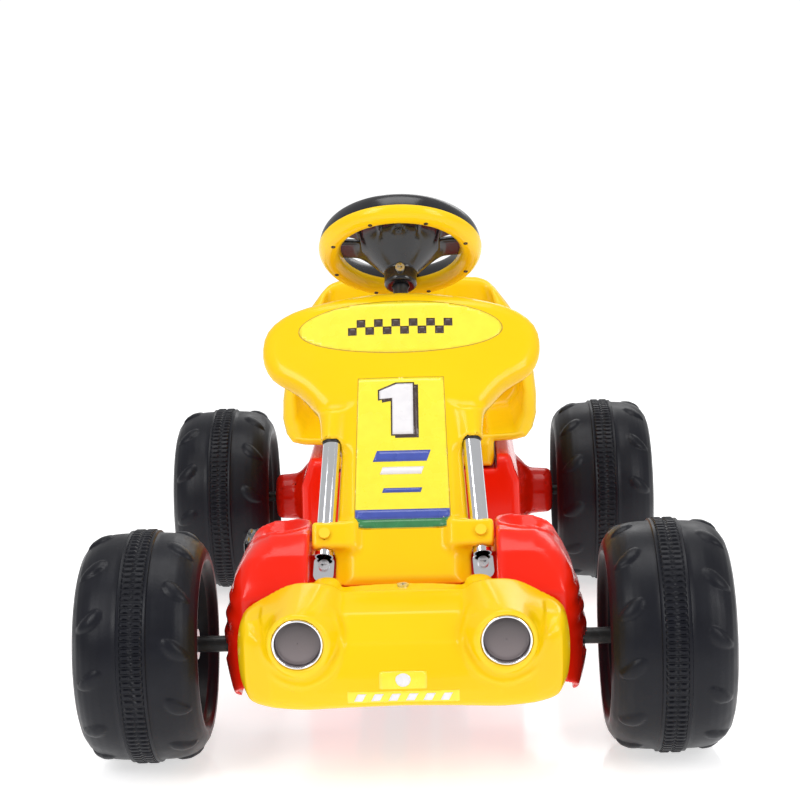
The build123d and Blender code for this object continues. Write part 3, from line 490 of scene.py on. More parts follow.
oiled = metal("oiled_steel", (0.26, 0.25, 0.24), 0.32, 0.2, (1.0, 1.0, 1.0), 180.0)
black_steel = painted_steel("black_steel", (0.012, 0.012, 0.013))
nylon = satin_black("nylon", (0.62, 0.60, 0.55), 0.45, 0.0001, 300.0)
lens_grey = lamp_face("lamp_grey")
label_yellow = sticker("label_yellow", (0.96, 0.80, 0.035), (0.93, 0.76, 0.03))
label_line = sticker("label_line", (0.62, 0.36, 0.01), (0.55, 0.32, 0.01))
label_dark = sticker("label_dark", (0.045, 0.025, 0.02), (0.06, 0.035, 0.03))
label_white = sticker("label_white", (0.82, 0.80, 0.82), (0.76, 0.74, 0.77))
label_blue = sticker("label_blue", (0.055, 0.09, 0.42), (0.045, 0.075, 0.36))
label_green = sticker("label_green", (0.035, 0.22, 0.075), (0.03, 0.18, 0.06))

finish_of_slot = {
    "red_plastic": red, "yellow_plastic": yellow, "yellow_cap": yellow_trim, "black_plastic": gloss_black,
    "wheel_black": tyre_black, "orange_cap": orange, "chrome": chrome, "lamp_grey": lens_grey, "zinc": zinc,
    "black_steel": black_steel, "chain_steel": oiled, "nylon": nylon,
}
for subpart in frame["record"]["subparts"]:
    node = frame["nodes"][subpart["node"]]
    for place in node.material_slots:
        place.material = finish_of_slot[subpart["material_slot"]]


# ---- Front body ----

body_wall = 4.0
rail_room_top = 96.0  # the frame rail passes below this height
chin_rise = 24.0
front_end = body_low[1] - front_y
back_end = body_high[1] - front_y
body_half = (body_high[0] - body_low[0]) / 2
body_bottom = body_low[2]
pad_depth = 2 * tube_radius - 2
pad_foot = fairing_foot - off_face * pad_depth


def on_face(x, y, z):
    """Place across, up the slope and off the fairing's face."""
    dy, dz = y - fairing_foot[1], z - fairing_foot[2]
    return x, dy * up_slope[1] + dz * up_slope[2], dy * off_face[1] + dz * off_face[2]


def from_face(across, up, off):
    """Point in the row frame from a place on the fairing's face."""
    across, up, off = np.broadcast_arrays(across, up, off)
    point = fairing_foot + up[..., None] * up_slope + off[..., None] * off_face
    return point + across[..., None] * np.array([1.0, 0.0, 0.0])


def front_body_outer(x, y, z):
    """Front body's outside, with its sides faintly waved and its shoulders rounded."""
    s, a = y - front_y, abs(x)
    w = body_half
    front = polygon(
        a, z,
        spline(
            [
                (-40, body_bottom - 60), (w - 34, body_bottom - 60), (w - 20, body_bottom - 8),
                (w - 8, body_bottom + 14), (w, body_bottom + 42), (w, body_bottom + 68),
                (w - 6, body_bottom + 92), (w - 16, 184), (w - 30, 208), (w - 48, 222),
                (w - 70, shoulder_top), (-40, shoulder_top),
            ],
            3,
        ),
    )
    plan = polygon(
        a, s,
        [
            (-40, front_end), (w - 27, front_end), (w - 10, -38), (w, -14), (w, 14),
            (w - 8, 42), (w - 24, back_end), (-40, back_end),
        ],
    )
    side = polygon(
        s, z,
        [
            (front_end, body_bottom - 60), (back_end, body_bottom - 60), (back_end, shoulder_top - 14),
            (back_end - 16, shoulder_top), (0, shoulder_top), (-28, 212), (front_end, floor_top + 2),
        ],
    )
    form = smooth_max(smooth_max(front, plan, 22), side, 16)
    waves = np.cos((z - body_bottom) * 2 * np.pi / 19.0)
    where = step_between(a, w - 30, w - 8) * step_between(z, 118, 140) * (1 - step_between(z, 186, 204))
    form = form + 1.1 * (1 + waves) * where
    pad = (y - pad_foot[1]) * off_face[1] + (z - pad_foot[2]) * off_face[2]
    top = np.minimum(z - floor_top, np.maximum(pad, z - deck_top))
    valley = np.maximum(a - deck_half_width, -top)
    form = smooth_max(form, -valley, 6)
    return form


def front_body_field(x, y, z):
    """Front body as a shell, open underneath, with half-bowls in the shoulders and a rising chin."""
    s, a = y - front_y, abs(x)
    outer = front_body_outer(x, y, z)
    bowl = np.sqrt(((a - 124) / 27) ** 2 + ((s - 34) / 22) ** 2)
    lip = 2.4 * np.exp(-(((bowl - 1.12) / 0.13) ** 2)) * step_between(z, shoulder_top - 22, shoulder_top - 8)
    scoop = 18 * (np.sqrt(bowl**2 + ((z - shoulder_top - 3) / 18) ** 2) - 1)
    outer = smooth_max(outer - lip, -scoop, 5)
    shell = np.maximum(outer, -(outer + body_wall))
    chin = body_bottom + chin_rise * np.clip((-14 - s) / (-14 - front_end), 0, 1)
    shell = np.maximum(shell, chin - z)
    slot = np.maximum(abs(z - wheel_radius) - 9, abs(s) - 34)
    shell = np.maximum(shell, -np.maximum(slot, 120 - a))
    boss = column_bar(x, y, z, 14.0, 24.0, 60.0)
    shell = smooth_min(shell, boss, 3)
    shell = np.maximum(shell, -column_bar(x, y, z, 11.05, -20.0, 120.0))
    rail = np.maximum(np.maximum(x + 8, -35 - x), z - rail_room_top)
    return np.maximum(shell, -np.maximum(rail, 20 - s))


def column_bar(x, y, z, radius, low, high):
    """Round bar along the steering column between two heights."""
    dy, dz = y - column_foot[1], z - column_foot[2]
    up = dy * up_slope[1] + dz * up_slope[2]
    off = dy * off_face[1] + dz * off_face[2]
    return np.maximum(np.sqrt(x * x + off * off) - radius, np.maximum(low - up, up - high))


front_body = surface("body_front", front_body_field, body_low, body_high, 2.6)
finish_piece(front_body, "chassis", ["front_body"], red)


# ---- Tunnel and seat base ----

groove_pitch = 38.0
bush_hole = 10.05
crank_place = np.array(joints["crank_spin"]["pos_m"]) * 1000
axle_place = np.array(joints["rear_axle_spin"]["pos_m"]) * 1000


def along_axle(y, z, place):
    """Distance from a cross axle."""
    return np.sqrt((y - place[1]) ** 2 + (z - place[2]) ** 2)


def tunnel_field(x, y, z):
    """Centre tunnel: rounded ridge with moulded panels, open underneath and at the rear."""
    a, s = abs(x), y - front_y
    w, top, low = tunnel_high[0], tunnel_high[2], tunnel_low[2]
    near, end = tunnel_low[1] - front_y, tunnel_high[1] - front_y
    front = polygon(
        a, z, [(-40, low - 60), (w, low - 60), (w, top - 26), (w - 10, top - 8), (w - 30, top), (-40, top)]
    )
    side = polygon(
        s, z,
        [
            (near - 2, low - 60), (end + 40, low - 60), (end + 40, 192), (end - 6, 193),
            (crank_place[1] - front_y + 84, top), (near + 20, top), (near - 2, top - 10),
        ],
    )
    outer = smooth_max(front, side, 10)
    panel = box_field(a, s, z, (w - 2.5, near + 150, 100), (w + 20, end - 24, 176), 8)
    outer = smooth_max(outer, -panel, 4)
    from_groove = abs((s - near) % groove_pitch - groove_pitch / 2)
    outer = outer + 1.6 * (1 - step_between(from_groove, 3, 7)) * step_between(z, top - 30, top - 12)
    shell = np.maximum(outer, -(outer + body_wall))
    shell = np.maximum(np.maximum(shell, low - z), np.maximum(near - s, s - end))
    boss = np.maximum(along_axle(y, z, crank_place) - 16, np.maximum(a - w, w - 12 - a))
    shell = smooth_min(shell, boss, 3)
    shell = np.maximum(shell, bush_hole - along_axle(y, z, crank_place))
    rail = np.maximum(np.maximum(x + 8, -35 - x), np.maximum(z - rail_room_top, s - near - 30))
    return np.maximum(shell, -rail)


def seat_base_field(x, y, z):
    """Seat base: tapered tub with a rail beside the seat and smooth axle housings, open underneath."""
    a, s = abs(x), y - front_y
    near, end = base_low[1] - front_y, base_high[1] - front_y
    low, floor, rail, w = base_low[2], seat_low[2], base_high[2], 130.0
    front = polygon(
        a, z,
        [
            (-40, low - 60), (w - 4, low - 60), (w - 2, low + 10), (w, low + 52), (w - 1, floor - 16),
            (w - 7, floor), (118, rail - 1), (114, rail), (-40, rail),
        ],
    )
    side = polygon(
        s, z,
        [
            (near, low - 60), (end - 14, low - 60), (end - 8, low + 10), (end, low + 52), (end - 20, floor),
            (end - 90, rail), (near + 8, rail), (near, rail - 8),
        ],
    )
    outer = smooth_max(front, side, 12)
    reach = base_high[0]
    from_axle = along_axle(y, z, axle_place)
    seam = 0.9 * np.exp(-(((z - axle_place[2]) / 1.3) ** 2))
    drum = smooth_max(from_axle - 31 + 0.07 * np.maximum(a - w, 0) + seam, a - reach, 9)
    flare = smooth_max(from_axle - 46 + 0.6 * np.maximum(a - w, 0), a - w - 14, 12)
    outer = smooth_min(smooth_min(outer, drum, 10), flare, 10)
    waist = box_field(a, s, z, (w - 6, near + 34, low + 22), (w + 30, near + 112, floor - 30), 10)
    outer = smooth_max(outer, -waist, 8)
    trough = np.maximum(a - 102.6, floor + 0.2 - z)
    outer = smooth_max(outer, -trough, 3)
    shell = np.maximum(outer, -(outer + body_wall))
    shell = np.maximum(np.maximum(shell, low - z), near - s)
    window = np.maximum(a - 60, np.maximum(z - floor + 10, s - near - 12))
    shell = np.maximum(shell, -window)
    bearing = np.maximum(from_axle - 14, np.maximum(reach - 14 - a, a - reach))
    shell = np.minimum(shell, bearing)
    return np.maximum(shell, bush_hole - from_axle)


tunnel = surface("body_tunnel", tunnel_field, tunnel_low, tunnel_high, 2.8)
finish_piece(tunnel, "chassis", ["centre_tunnel"], red)
seat_base = surface("body_seat_base", seat_base_field, base_low, base_high, 3.0)
finish_piece(seat_base, "chassis", ["seat_base"], red)


# ---- Bumper ----

lamp = (lamp_low + lamp_high) / 2
lamp_front = lamp_low[1] - front_y + 1
nose = bumper_low[1] - front_y
lamp_reach = (lamp_high[0] - lamp_low[0]) / 2


def bumper_field(x, y, z):
    """Nose bumper: bowed face, flared lamp barrels, horns at the tubes' feet and a flange on the deck."""
    a, s = abs(x), y - front_y
    front = polygon(
        a, z,
        spline(
            [
                (-40, 92), (0, 91.5), (50, 90), (96, 87), (130, 88), (148, 94), (157, 110), (160, 134),
                (157, 156), (148, 170), (124, 181), (60, 188), (0, 190), (-40, 190),
            ],
            3,
        ),
    )
    plan = polygon(
        a, s,
        [
            (-40, nose + 1), (40, nose + 1), (90, nose + 6), (124, nose + 17), (148, -110), (160, -88),
            (162, -20), (-40, -20),
        ],
    )
    side = polygon(
        s, z,
        [
            (40, 60), (-100, 76), (nose + 12, 84), (nose + 3, 94), (nose, 108), (nose + 4, 124), (-123, 152),
            (-100, 174), (-62, 187), (-20, 194), (40, 194),
        ],
    )
    form = smooth_max(smooth_max(front, plan, 14), side, 14)
    horn = capsule(a, s, z, (78, -112, 158), (73, -42, 180), 21, 14.5)
    horn = smooth_max(horn, z - 192, 5)
    form = smooth_min(form, horn, 6)
    across, rise = a - lamp[0], z - lamp[2]
    from_lamp = np.sqrt(across**2 + rise**2)
    depth = s - lamp_front
    barrel = smooth_max(from_lamp - 28.5 - 0.12 * np.maximum(depth, 0), -depth - 1, 4)
    form = smooth_min(form, barrel, 14)
    ahead = 1 - step_between(s, -112, -92)
    inner_low = step_between(-0.7 * across - 0.7 * rise, -4, 14)
    form = form - 2.2 * np.exp(-(((from_lamp - 41) / 3.2) ** 2)) * ahead * inner_low
    tear = capsule(a, 0 * s, z, (132, 0, 158), (139, 0, 172), 3.0, 6.5)
    on_top = step_between(z, 140, 150) * (1 - step_between(s, -90, -70))
    form = form + 2.6 * (1 - step_between(tear, -2.5, 2.5)) * on_top
    form = smooth_max(form, s - front_end + 0.3, 1.5)
    flange = box_field(a, s, z, (-20, front_end - 8, floor_top + 0.4), (87, -30, floor_top + 7), 2.5)
    flange = np.maximum(flange, s + 35 + 11 * np.minimum(a / 62, 1) ** 2)
    deck_room = np.maximum(floor_top + 0.4 - z, a - deck_half_width + 1.5)
    over_deck = np.maximum(horn, np.maximum(s + 33, deck_room))
    upper = smooth_min(flange, over_deck, 3)
    form = smooth_min(form, upper, 2)
    recess = np.maximum(from_lamp - lamp_reach - 0.2, depth - 20)
    return smooth_max(form, -recess, 1.5)


bumper = surface("nose_bumper", bumper_field, bumper_low, bumper_high + np.array([0, 0, 6]), 2.4)
finish_piece(bumper, "chassis", ["front_bumper"], yellow)


# ---- Fairing ----

fairing_half = [
    (67, -24), (66.5, 6), (66, 30), (65, 60), (63, 100), (61.5, 142), (70, 158), (85, 184), (106, 210),
    (134, 230), (145, 256), (140, 286), (113, 306), (60, 320),
]
fairing_left = [(-u, v) for u, v in fairing_half[::-1]]
fairing_edge = spline([(0, -30), (62, -30), *fairing_half, (0, 326), *fairing_left, (-62, -30)], 3)
tab_reach = 89.0


def tube_distance(across, up, off):
    """Distance to a support tube's centre line on the fairing's face."""
    lean = math.hypot(1.0, tube_lean)
    return np.sqrt(((abs(across) - tube_foot_x + tube_lean * up) / lean) ** 2 + (off + tube_depth) ** 2)


def fairing_top(across, up):
    """Height of the fairing's face over its plane: bevelled beside the panel, domed over the wings."""
    a = abs(across)
    wing = step_between(up, 140, 205)
    panel = 9.0 * step_between(a, 47, 66)
    dome = 15.0 * (a / 145.0) ** 2.2 + 8.0 * step_between(up, 300, 327)
    return -(panel * (1 - wing) + dome * wing)


def fairing_field(x, y, z):
    """Fairing: rounded blow-moulded panel with wings, side bevels, strap tabs and slots for the tubes."""
    across, up, off = on_face(x, y, z)
    a = abs(across)
    edge = polygon(across, up, fairing_edge)
    back = -16 - 6 * step_between(up, 40, 46) - 10 * step_between(up, 150, 200) * step_between(a, 45, 80)
    face = off - fairing_top(across, up)
    rounding = 5 + 11 * step_between(up, 130, 200)
    form = smooth_max(edge, face, rounding)
    form = smooth_max(form, back - off, rounding * 0.6)
    form = smooth_max(form, np.maximum(floor_top + 0.4 - z, front_y - 21 - y), 2)
    from_tube = tube_distance(across, up, off)
    hood = smooth_max(from_tube - tube_radius - 2.4, np.maximum(147 - up, up - 178), 3)
    form = smooth_min(form, hood, 16)
    tab = box_field(a, up, off, (46, 29, -9), (tab_reach, 57, 5.6), 4)
    form = smooth_min(form, tab, 12)
    groove = smooth_max(from_tube - tube_radius - 0.5, up - 151, 3)
    form = smooth_max(form, -groove, 1.5)
    seat_low_end = capsule(a, up, off, (79, -6, -14), (78, 26, -14), 11.2)
    return smooth_max(form, -seat_low_end, 1)


fairing_corner = from_face(np.array([0.0, 0.0]), np.array([-30.0, 328.0]), np.array([-36.0, 8.0]))
fairing_low = np.array([-148.0, fairing_corner[:, 1].min() - 8, fairing_corner[:, 2].min()])
fairing_high = np.array([148.0, fairing_corner[:, 1].max() + 28, fairing_corner[:, 2].max() + 4])
fairing = surface("front_panel", fairing_field, fairing_low, fairing_high, 2.3)
finish_piece(fairing, "chassis", ["front_fairing"], yellow)


# ---- Stickers ----


def on_skin(points, field, lift):
    """Points dropped onto a field's surface along its gradient, then lifted."""
    points = onto_surface(field, points, 6.0, 8)
    normal = field_normals(field, points)
    return points + normal / np.linalg.norm(normal, axis=1, keepdims=True) * lift


def label(name, outline, lift, material, place, field, pitch=4.0):
    """Thin printed sheet lying on a surface; place turns outline points into points near that surface."""
    outline = resample(outline, pitch)
    low, high = outline.min(axis=0), outline.max(axis=0)
    count = np.maximum(np.ceil((high - low) / pitch).astype(int), 1)
    mesh = bpy.data.meshes.new(name)
    mesh.from_pydata([(u, v, 0) for u, v in outline], [], [list(range(len(outline)))])
    shape = bmesh.new()
    shape.from_mesh(mesh)
    for axis in (0, 1):
        for cut in low[axis] + (high - low)[axis] * np.arange(1, count[axis]) / count[axis]:
            point, normal = [0, 0, 0], [0, 0, 0]
            point[axis], normal[axis] = cut, 1
            parts = shape.verts[:] + shape.edges[:] + shape.faces[:]
            bmesh.ops.bisect_plane(shape, geom=parts, plane_co=point, plane_no=normal)
    shape.to_mesh(mesh)
    shape.free()
    flat = np.array([v.co[:2] for v in mesh.vertices])
    top = on_skin(place(flat[:, 0], flat[:, 1]), field, lift)
    for vertex, point in zip(mesh.vertices, top):
        vertex.co = point * 0.001
    mesh.shade_smooth()
    piece = bpy.data.objects.new(name, mesh)
    bpy.context.scene.collection.objects.link(piece)
    thickness = piece.modifiers.new("sheet", "SOLIDIFY")
    thickness.thickness = 0.00015
    thickness.offset = -1
    return finish_piece(piece, "chassis", (), material)


def on_fairing(across, up):
    """Points near the fairing's face."""
    return from_face(across, up, fairing_top(across, up))


def oval(middle, half_width, half_height, count=72):
    """Outline of an ellipse."""
    angle = 2 * np.pi * np.arange(count) / count
    return [(half_width * math.cos(t), middle + half_height * math.sin(t)) for t in angle]


def fairing_label(name, outline, lift, material):
    """Label on the fairing."""
    return label(name, outline, lift, material, on_fairing, fairing_field)


def panel(low, high, half_low, half_high):
    """Four-cornered outline, its half-width given at both ends."""
    return [(-half_low, low), (half_low, low), (half_high, high), (-half_high, high)]


oval_middle, oval_half, oval_rise = 276.0, 105.0, 30.0
edge_oval = oval(oval_middle, oval_half + 1.1, oval_rise + 1.1)
fairing_label("label_oval_edge", edge_oval, 0.1, label_line)
fairing_label("label_oval", oval(oval_middle, oval_half, oval_rise), 0.25, label_yellow)
chequer = 9.0
for row in (0, 1):
    for column in range(12):
        if (row + column) % 2 == 0:
            left = (column - 6) * chequer
            right = left + chequer
            low = oval_middle - chequer + row * chequer
            square = [(left, low), (right, low), (right, low + chequer), (left, low + chequer)]
            fairing_label(f"label_chequer_{row}_{column}", square, 0.45, label_dark)
fairing_label("label_panel_edge", panel(49.2, 216.8, 47.9, 43.9), 0.1, label_line)
fairing_label("label_panel", panel(50, 216, 47, 43), 0.25, label_yellow)
fairing_label("label_blue", panel(59.5, 70, 46.8, 46.6), 0.45, label_blue)
fairing_label("label_green", panel(50.3, 59.5, 47, 46.8), 0.45, label_green)


def numeral(shift_across, shift_up, grow):
    """Outline of a plain block figure one."""
    points = [
        (-9, 152), (12, 152), (12, 209), (-4, 209), (-22, 201), (-22, 192), (-9, 193),
    ]
    made = []
    for across, up in points:
        out_across = grow if across > 0 else -grow
        out_up = grow if up > 195 else (-grow if up < 160 or across < -20 else 0.0)
        made.append((across + out_across + shift_across, up + out_up + shift_up))
    return made


fairing_label("label_one_shadow", numeral(4.0, -2.6, 1.4), 0.42, label_dark)
fairing_label("label_one_edge", numeral(0.0, 0.0, 1.5), 0.55, label_dark)
fairing_label("label_one", numeral(0.0, 0.0, 0.0), 0.72, label_white)
for index, (low, high, half) in enumerate([(122, 134, 29), (108, 116, 22), (88, 93, 20)]):
    lean = 0.35 * (high - low)
    bar_outline = [(-half, low), (half - lean, low), (half, high), (lean - half, high)]
    material = label_blue if index != 1 else label_white
    fairing_label(f"label_bar_{index}", bar_outline, 0.45, material)


def on_bumper(across, height):
    """Points near the bumper's face."""
    across, height = np.asarray(across), np.asarray(height)
    return np.stack([across, np.full(across.shape, front_y + nose - 2), height], axis=1)


def bumper_label(name, outline, lift, material):
    """Label on the bumper's face."""
    return label(name, outline, lift, material, on_bumper, bumper_field)


bumper_label("label_nose", panel(97, 111, 52, 52), 0.25, label_yellow)
for index in range(6):
    left = -46 + 16 * index
    slash = [(left, 99.5), (left + 8, 99.5), (left + 12, 108.5), (left + 4, 108.5)]
    bumper_label(f"label_slash_{index}", slash, 0.45, label_white)
bumper_label("label_nose_small", panel(113, 131, 22, 22), 0.25, label_yellow)
bumper_label("label_nose_disc", oval(122, 7.0, 7.0, 28), 0.45, label_white)


# ---- Wheels ----

block_count = 112
lug_count = 12
lug_place = 41.0
hub_radius = 24.0
hub_face = 46.0


def wheel_outline(bore):
    """Closed profile of a wheel as (distance from its middle, radius), starting on the tread."""
    right = [
        (0, 113), (9.0, 113), (10.5, 113), (11.5, 113.7), (13.5, 113.7), (14.5, 112), (17, 111.2),
        (24, 110.9),
        (32, 110.2), (40, 108.4), (47, 105.2), (53, 100.4), (57.5, 94), (59.6, 88), (59.2, 83.5), (56, 80.5),
        (51, 78.5), (49.5, 76), (44, 74.5), (36, 73), (31, 69), (29.5, 62), (29.5, 42), (31, 32), (34, 28),
        (42, 25.5), (hub_face, hub_radius), (hub_face, bore),
    ]
    left = [(-w, r) for w, r in reversed(right[1:])]
    return right + left


def tread(name, middle, bore, body, replaced):
    """One wheel: block band round the middle, domed lugs on both shoulders, ribs in the dish."""
    profile = resample(wheel_outline(bore), 2.2)
    segments = block_count * 5
    w, r = profile[:, 0][None], profile[:, 1][None]
    angle = (2 * np.pi * np.arange(segments) / segments)[:, None]
    slope_w = np.roll(profile[:, 0], -1) - np.roll(profile[:, 0], 1)
    slope_r = np.roll(profile[:, 1], -1) - np.roll(profile[:, 1], 1)
    length = np.maximum(np.hypot(slope_w, slope_r), 1e-6)
    out_w, out_r = (-slope_r / length)[None], (slope_w / length)[None]
    turn = (angle * block_count / (2 * np.pi)) % 1.0
    on_band = (r > 112.5) & (abs(w) < 10) & (abs(w) > 1.2)
    height = np.where(on_band & (turn < 0.55), 1.9, 0.0)
    shift = np.where(w > 0, 0.0, 0.5)
    around = ((angle * lug_count / (2 * np.pi) + shift) % 1.0 - 0.5) * 2 * np.pi * 108 / lug_count
    across = (abs(w) - lug_place) / 12.0
    width = 8.0 - 2.5 * np.clip(across, -1, 1)
    inside = 1 - across**2 - ((around - 7 * across) / width) ** 2
    height = height + np.where(r > 88, 2.8 * np.sqrt(np.clip(inside, 0, 1)), 0)
    rib = abs((angle * 6 / (2 * np.pi)) % 1.0 - 0.5)
    in_dish = (r < 70) & (r > 30) & (abs(w) < 30.5)
    height = height + np.where(in_dish, 3.0 * (1 - step_between(rib, 0.05, 0.09)), 0)
    along, radius = w + out_w * height, np.minimum(r + out_r * height, wheel_radius)
    piece = lathe(name, along, radius, middle, (1, 0, 0), (0, 1, 0), 40.0)
    return finish_piece(piece, body, [replaced], tyre_black)


def cap_profile(side):
    """Hub cap: domed cup with a stepped rim."""
    points = [
        (0.2, 20.5), (0.2, 23.6), (6, 23.4), (7.5, 22.4), (9.5, 21.6), (11.3, 18), (12.3, 12),
        (12.8, 6), (12.9, 0.6),
        (11.0, 0.6), (10.5, 12), (9, 18), (6, 20.4),
    ]
    return [(side * w, r) for w, r in points]


def hub_cap(name, middle, side, body, replaced):
    """Hub cap standing on the hub's face."""
    profile = resample(cap_profile(side), 1.6)
    segments = 72
    angle = (2 * np.pi * np.arange(segments) / segments)[:, None]
    w, r = profile[:, 0][None], profile[:, 1][None]
    grip = 0.5 * np.cos(angle * 18) * ((r > 22.8) & (abs(w) < 6.2))
    place = np.array(middle, float) + np.array([side * hub_face, 0, 0])
    piece = lathe(name, w + 0 * angle, r + grip - 0.4, place, (1, 0, 0), (0, 1, 0), 40.0)
    if side < 0:
        piece.data.flip_normals()
    return finish_piece(piece, body, [replaced], orange)


front_middle = np.array([front_wheel_x, front_y, wheel_radius])
rear_middle = np.array([rear_wheel_x, front_y + rear_station, wheel_radius])
mirror_x = np.array([-1, 1, 1])
tread("tyre_front_left", front_middle, 5.4, "front_wheel_left", "front_wheel_left")
tread("tyre_front_right", front_middle * mirror_x, 5.4, "front_wheel_right", "front_wheel_right")
tread("tyre_rear_left", rear_middle, 6.4, "rear_axle", "rear_wheel_left")
tread("tyre_rear_right", rear_middle * mirror_x, 6.4, "rear_wheel_right", "rear_wheel_right")
hub_cap("cap_front_left", front_middle, 1, "front_wheel_left", "front_hub_cap_left")
hub_cap("cap_front_right", front_middle * mirror_x, -1, "front_wheel_right", "front_hub_cap_right")
hub_cap("cap_rear_left", rear_middle, 1, "rear_axle", "rear_hub_cap_left")
hub_cap("cap_rear_right", rear_middle * mirror_x, -1, "rear_wheel_right", "rear_hub_cap_right")


# ---- Headlights ----

lip = lamp_reach
ring_profile = [
    (-18, lip - 2.6), (-1.5, lip - 2.6), (0.2, lip - 2.4), (0.8, lip - 1.8), (0.8, lip - 1.0),
    (0.2, lip - 0.2), (-1.5, lip), (-18, lip),
]
face = lip - 2.7
lens_profile = [
    (-19, 0.4), (-19, face), (-6, face), (-5.2, face - 0.5), (-4.4, 17), (-3.8, 12), (-3.5, 6), (-3.4, 0.4),
]
for side, hand in ((1, "left"), (-1, "right")):
    middle = [side * lamp[0], front_y + lamp_front, lamp[2]]
    for name, outline, slot, material in (
        ("lamp_ring", ring_profile, "chrome", chrome),
        ("lamp_face", lens_profile, "lamp_grey", lens_grey),
    ):
        piece = turned(f"{name}_{hand}", outline, 1.0, 96, middle, (0, -1, 0), sharp=50.0)
        replaced = {"lamp_ring": "headlight_ring", "lamp_face": "headlight_lens"}[name]
        finish_piece(piece, "chassis", [f"{replaced}_{hand}"], material)


# ---- Steering wheel ----

rim_radius = 76.0
rim_half = 12.0
rim_upper_height = 22.0
split_at = 2.0
fan_half = math.radians(66)


def half_rim(name, low_half, material, replaced):
    """Half of the rim: the yellow one below the seam, the taller black one above it."""
    turn = np.linspace(0, np.pi, 25)
    half, reach = rim_half - 0.2, -rim_half + 0.3
    if not low_half:
        half, reach = rim_half - 0.8, rim_upper_height - 0.5
    profile = [(split_at + (reach - split_at) * math.sin(t), rim_radius + half * math.cos(t)) for t in turn]
    outline = profile[::-1] if low_half else profile
    piece = turned(name, outline, 1.5, 160, rim_middle, up_slope, sharp=40.0)
    return finish_piece(piece, "steering", replaced, material)


def steering_place(x, y, z):
    """Place about the steering wheel: across, off the face and up the column from the rim's middle."""
    dy, dz = y - rim_middle[1], z - rim_middle[2]
    return x, dy * off_face[1] + dz * off_face[2], dy * up_slope[1] + dz * up_slope[2]


def steering_hub_field(x, y, z):
    """Hub, spokes, the dished fan on the nose side with its ridges, and the neck over the column."""
    a, b, up = steering_place(x, y, z)
    from_axis = np.sqrt(a * a + b * b)
    dish = 3.0 * (1 - step_between(from_axis, 20, 66))
    disc = smooth_max(from_axis - 29, abs(up - 5.5 + dish) - 5.5, 4)
    spoke_a = smooth_max(abs(b + 2) - 16, from_axis - rim_radius, 3)
    spoke_b = smooth_max(np.maximum(abs(a) - 18, b), from_axis - rim_radius, 3)
    fan = smooth_max(abs(a) * math.cos(fan_half) - b * math.sin(fan_half), from_axis - rim_radius, 3)
    slit = box_field(abs(a), b, up, (40, 16, -60), (61, 20.5, 60), 2)
    plate = smooth_min(smooth_min(spoke_a, spoke_b, 12), smooth_max(fan, -slit, 1.5), 6)
    plate = smooth_max(plate, abs(up - 5.5 + dish) - 3.6, 3)
    form = smooth_min(disc, plate, 5)
    band = abs(up - 4.6 + dish) - 5.6
    for place in (15.0, 38.0):
        ridge = np.maximum(abs(abs(a) - place - 0.12 * b) - 1.2, np.maximum(from_axis - 64, 26 - from_axis))
        form = smooth_min(form, np.maximum(np.maximum(ridge, 6 - b), band), 1.5)
    ring = np.maximum(abs(np.sqrt(a * a + (b - 44) ** 2) - 5) - 1.3, band)
    form = smooth_min(form, ring, 1.5)
    cone = smooth_max(from_axis - 17.3 - 0.95 * np.maximum(up + 28, 0), np.maximum(-45.5 - up, up - 2), 4)
    form = smooth_min(form, cone, 6)
    return np.maximum(form, -np.maximum(from_axis - 8.1, up - 3))


half_rim("rim_yellow", True, yellow, ["wheel_rim"])
half_rim("rim_black", False, gloss_black, ["wheel_top"])
hub_reach = 80.0
hub_high = rim_middle + np.array([hub_reach, hub_reach, 60.0])
hub = surface("steering_hub", steering_hub_field, rim_middle - hub_reach, hub_high, 2.0)
finish_piece(hub, "steering", (), gloss_black)
rim_screw_count = 8
screw_outline = [(0, 0.3), (0, 2.4), (0.5, 2.2), (0.7, 1.4), (0.3, 0.3)]
for index in range(rim_screw_count):
    angle = 2 * math.pi * (index + 0.5) / rim_screw_count
    out = math.cos(angle) * np.array([1.0, 0, 0]) + math.sin(angle) * off_face
    place = rim_middle + out * rim_radius - up_slope * (rim_half - 0.5)
    screw_head = turned(f"rim_screw_{index}", screw_outline, 0.5, 20, place, -up_slope)
    finish_piece(screw_head, "steering", (), plug_black)


# ---- Seat ----


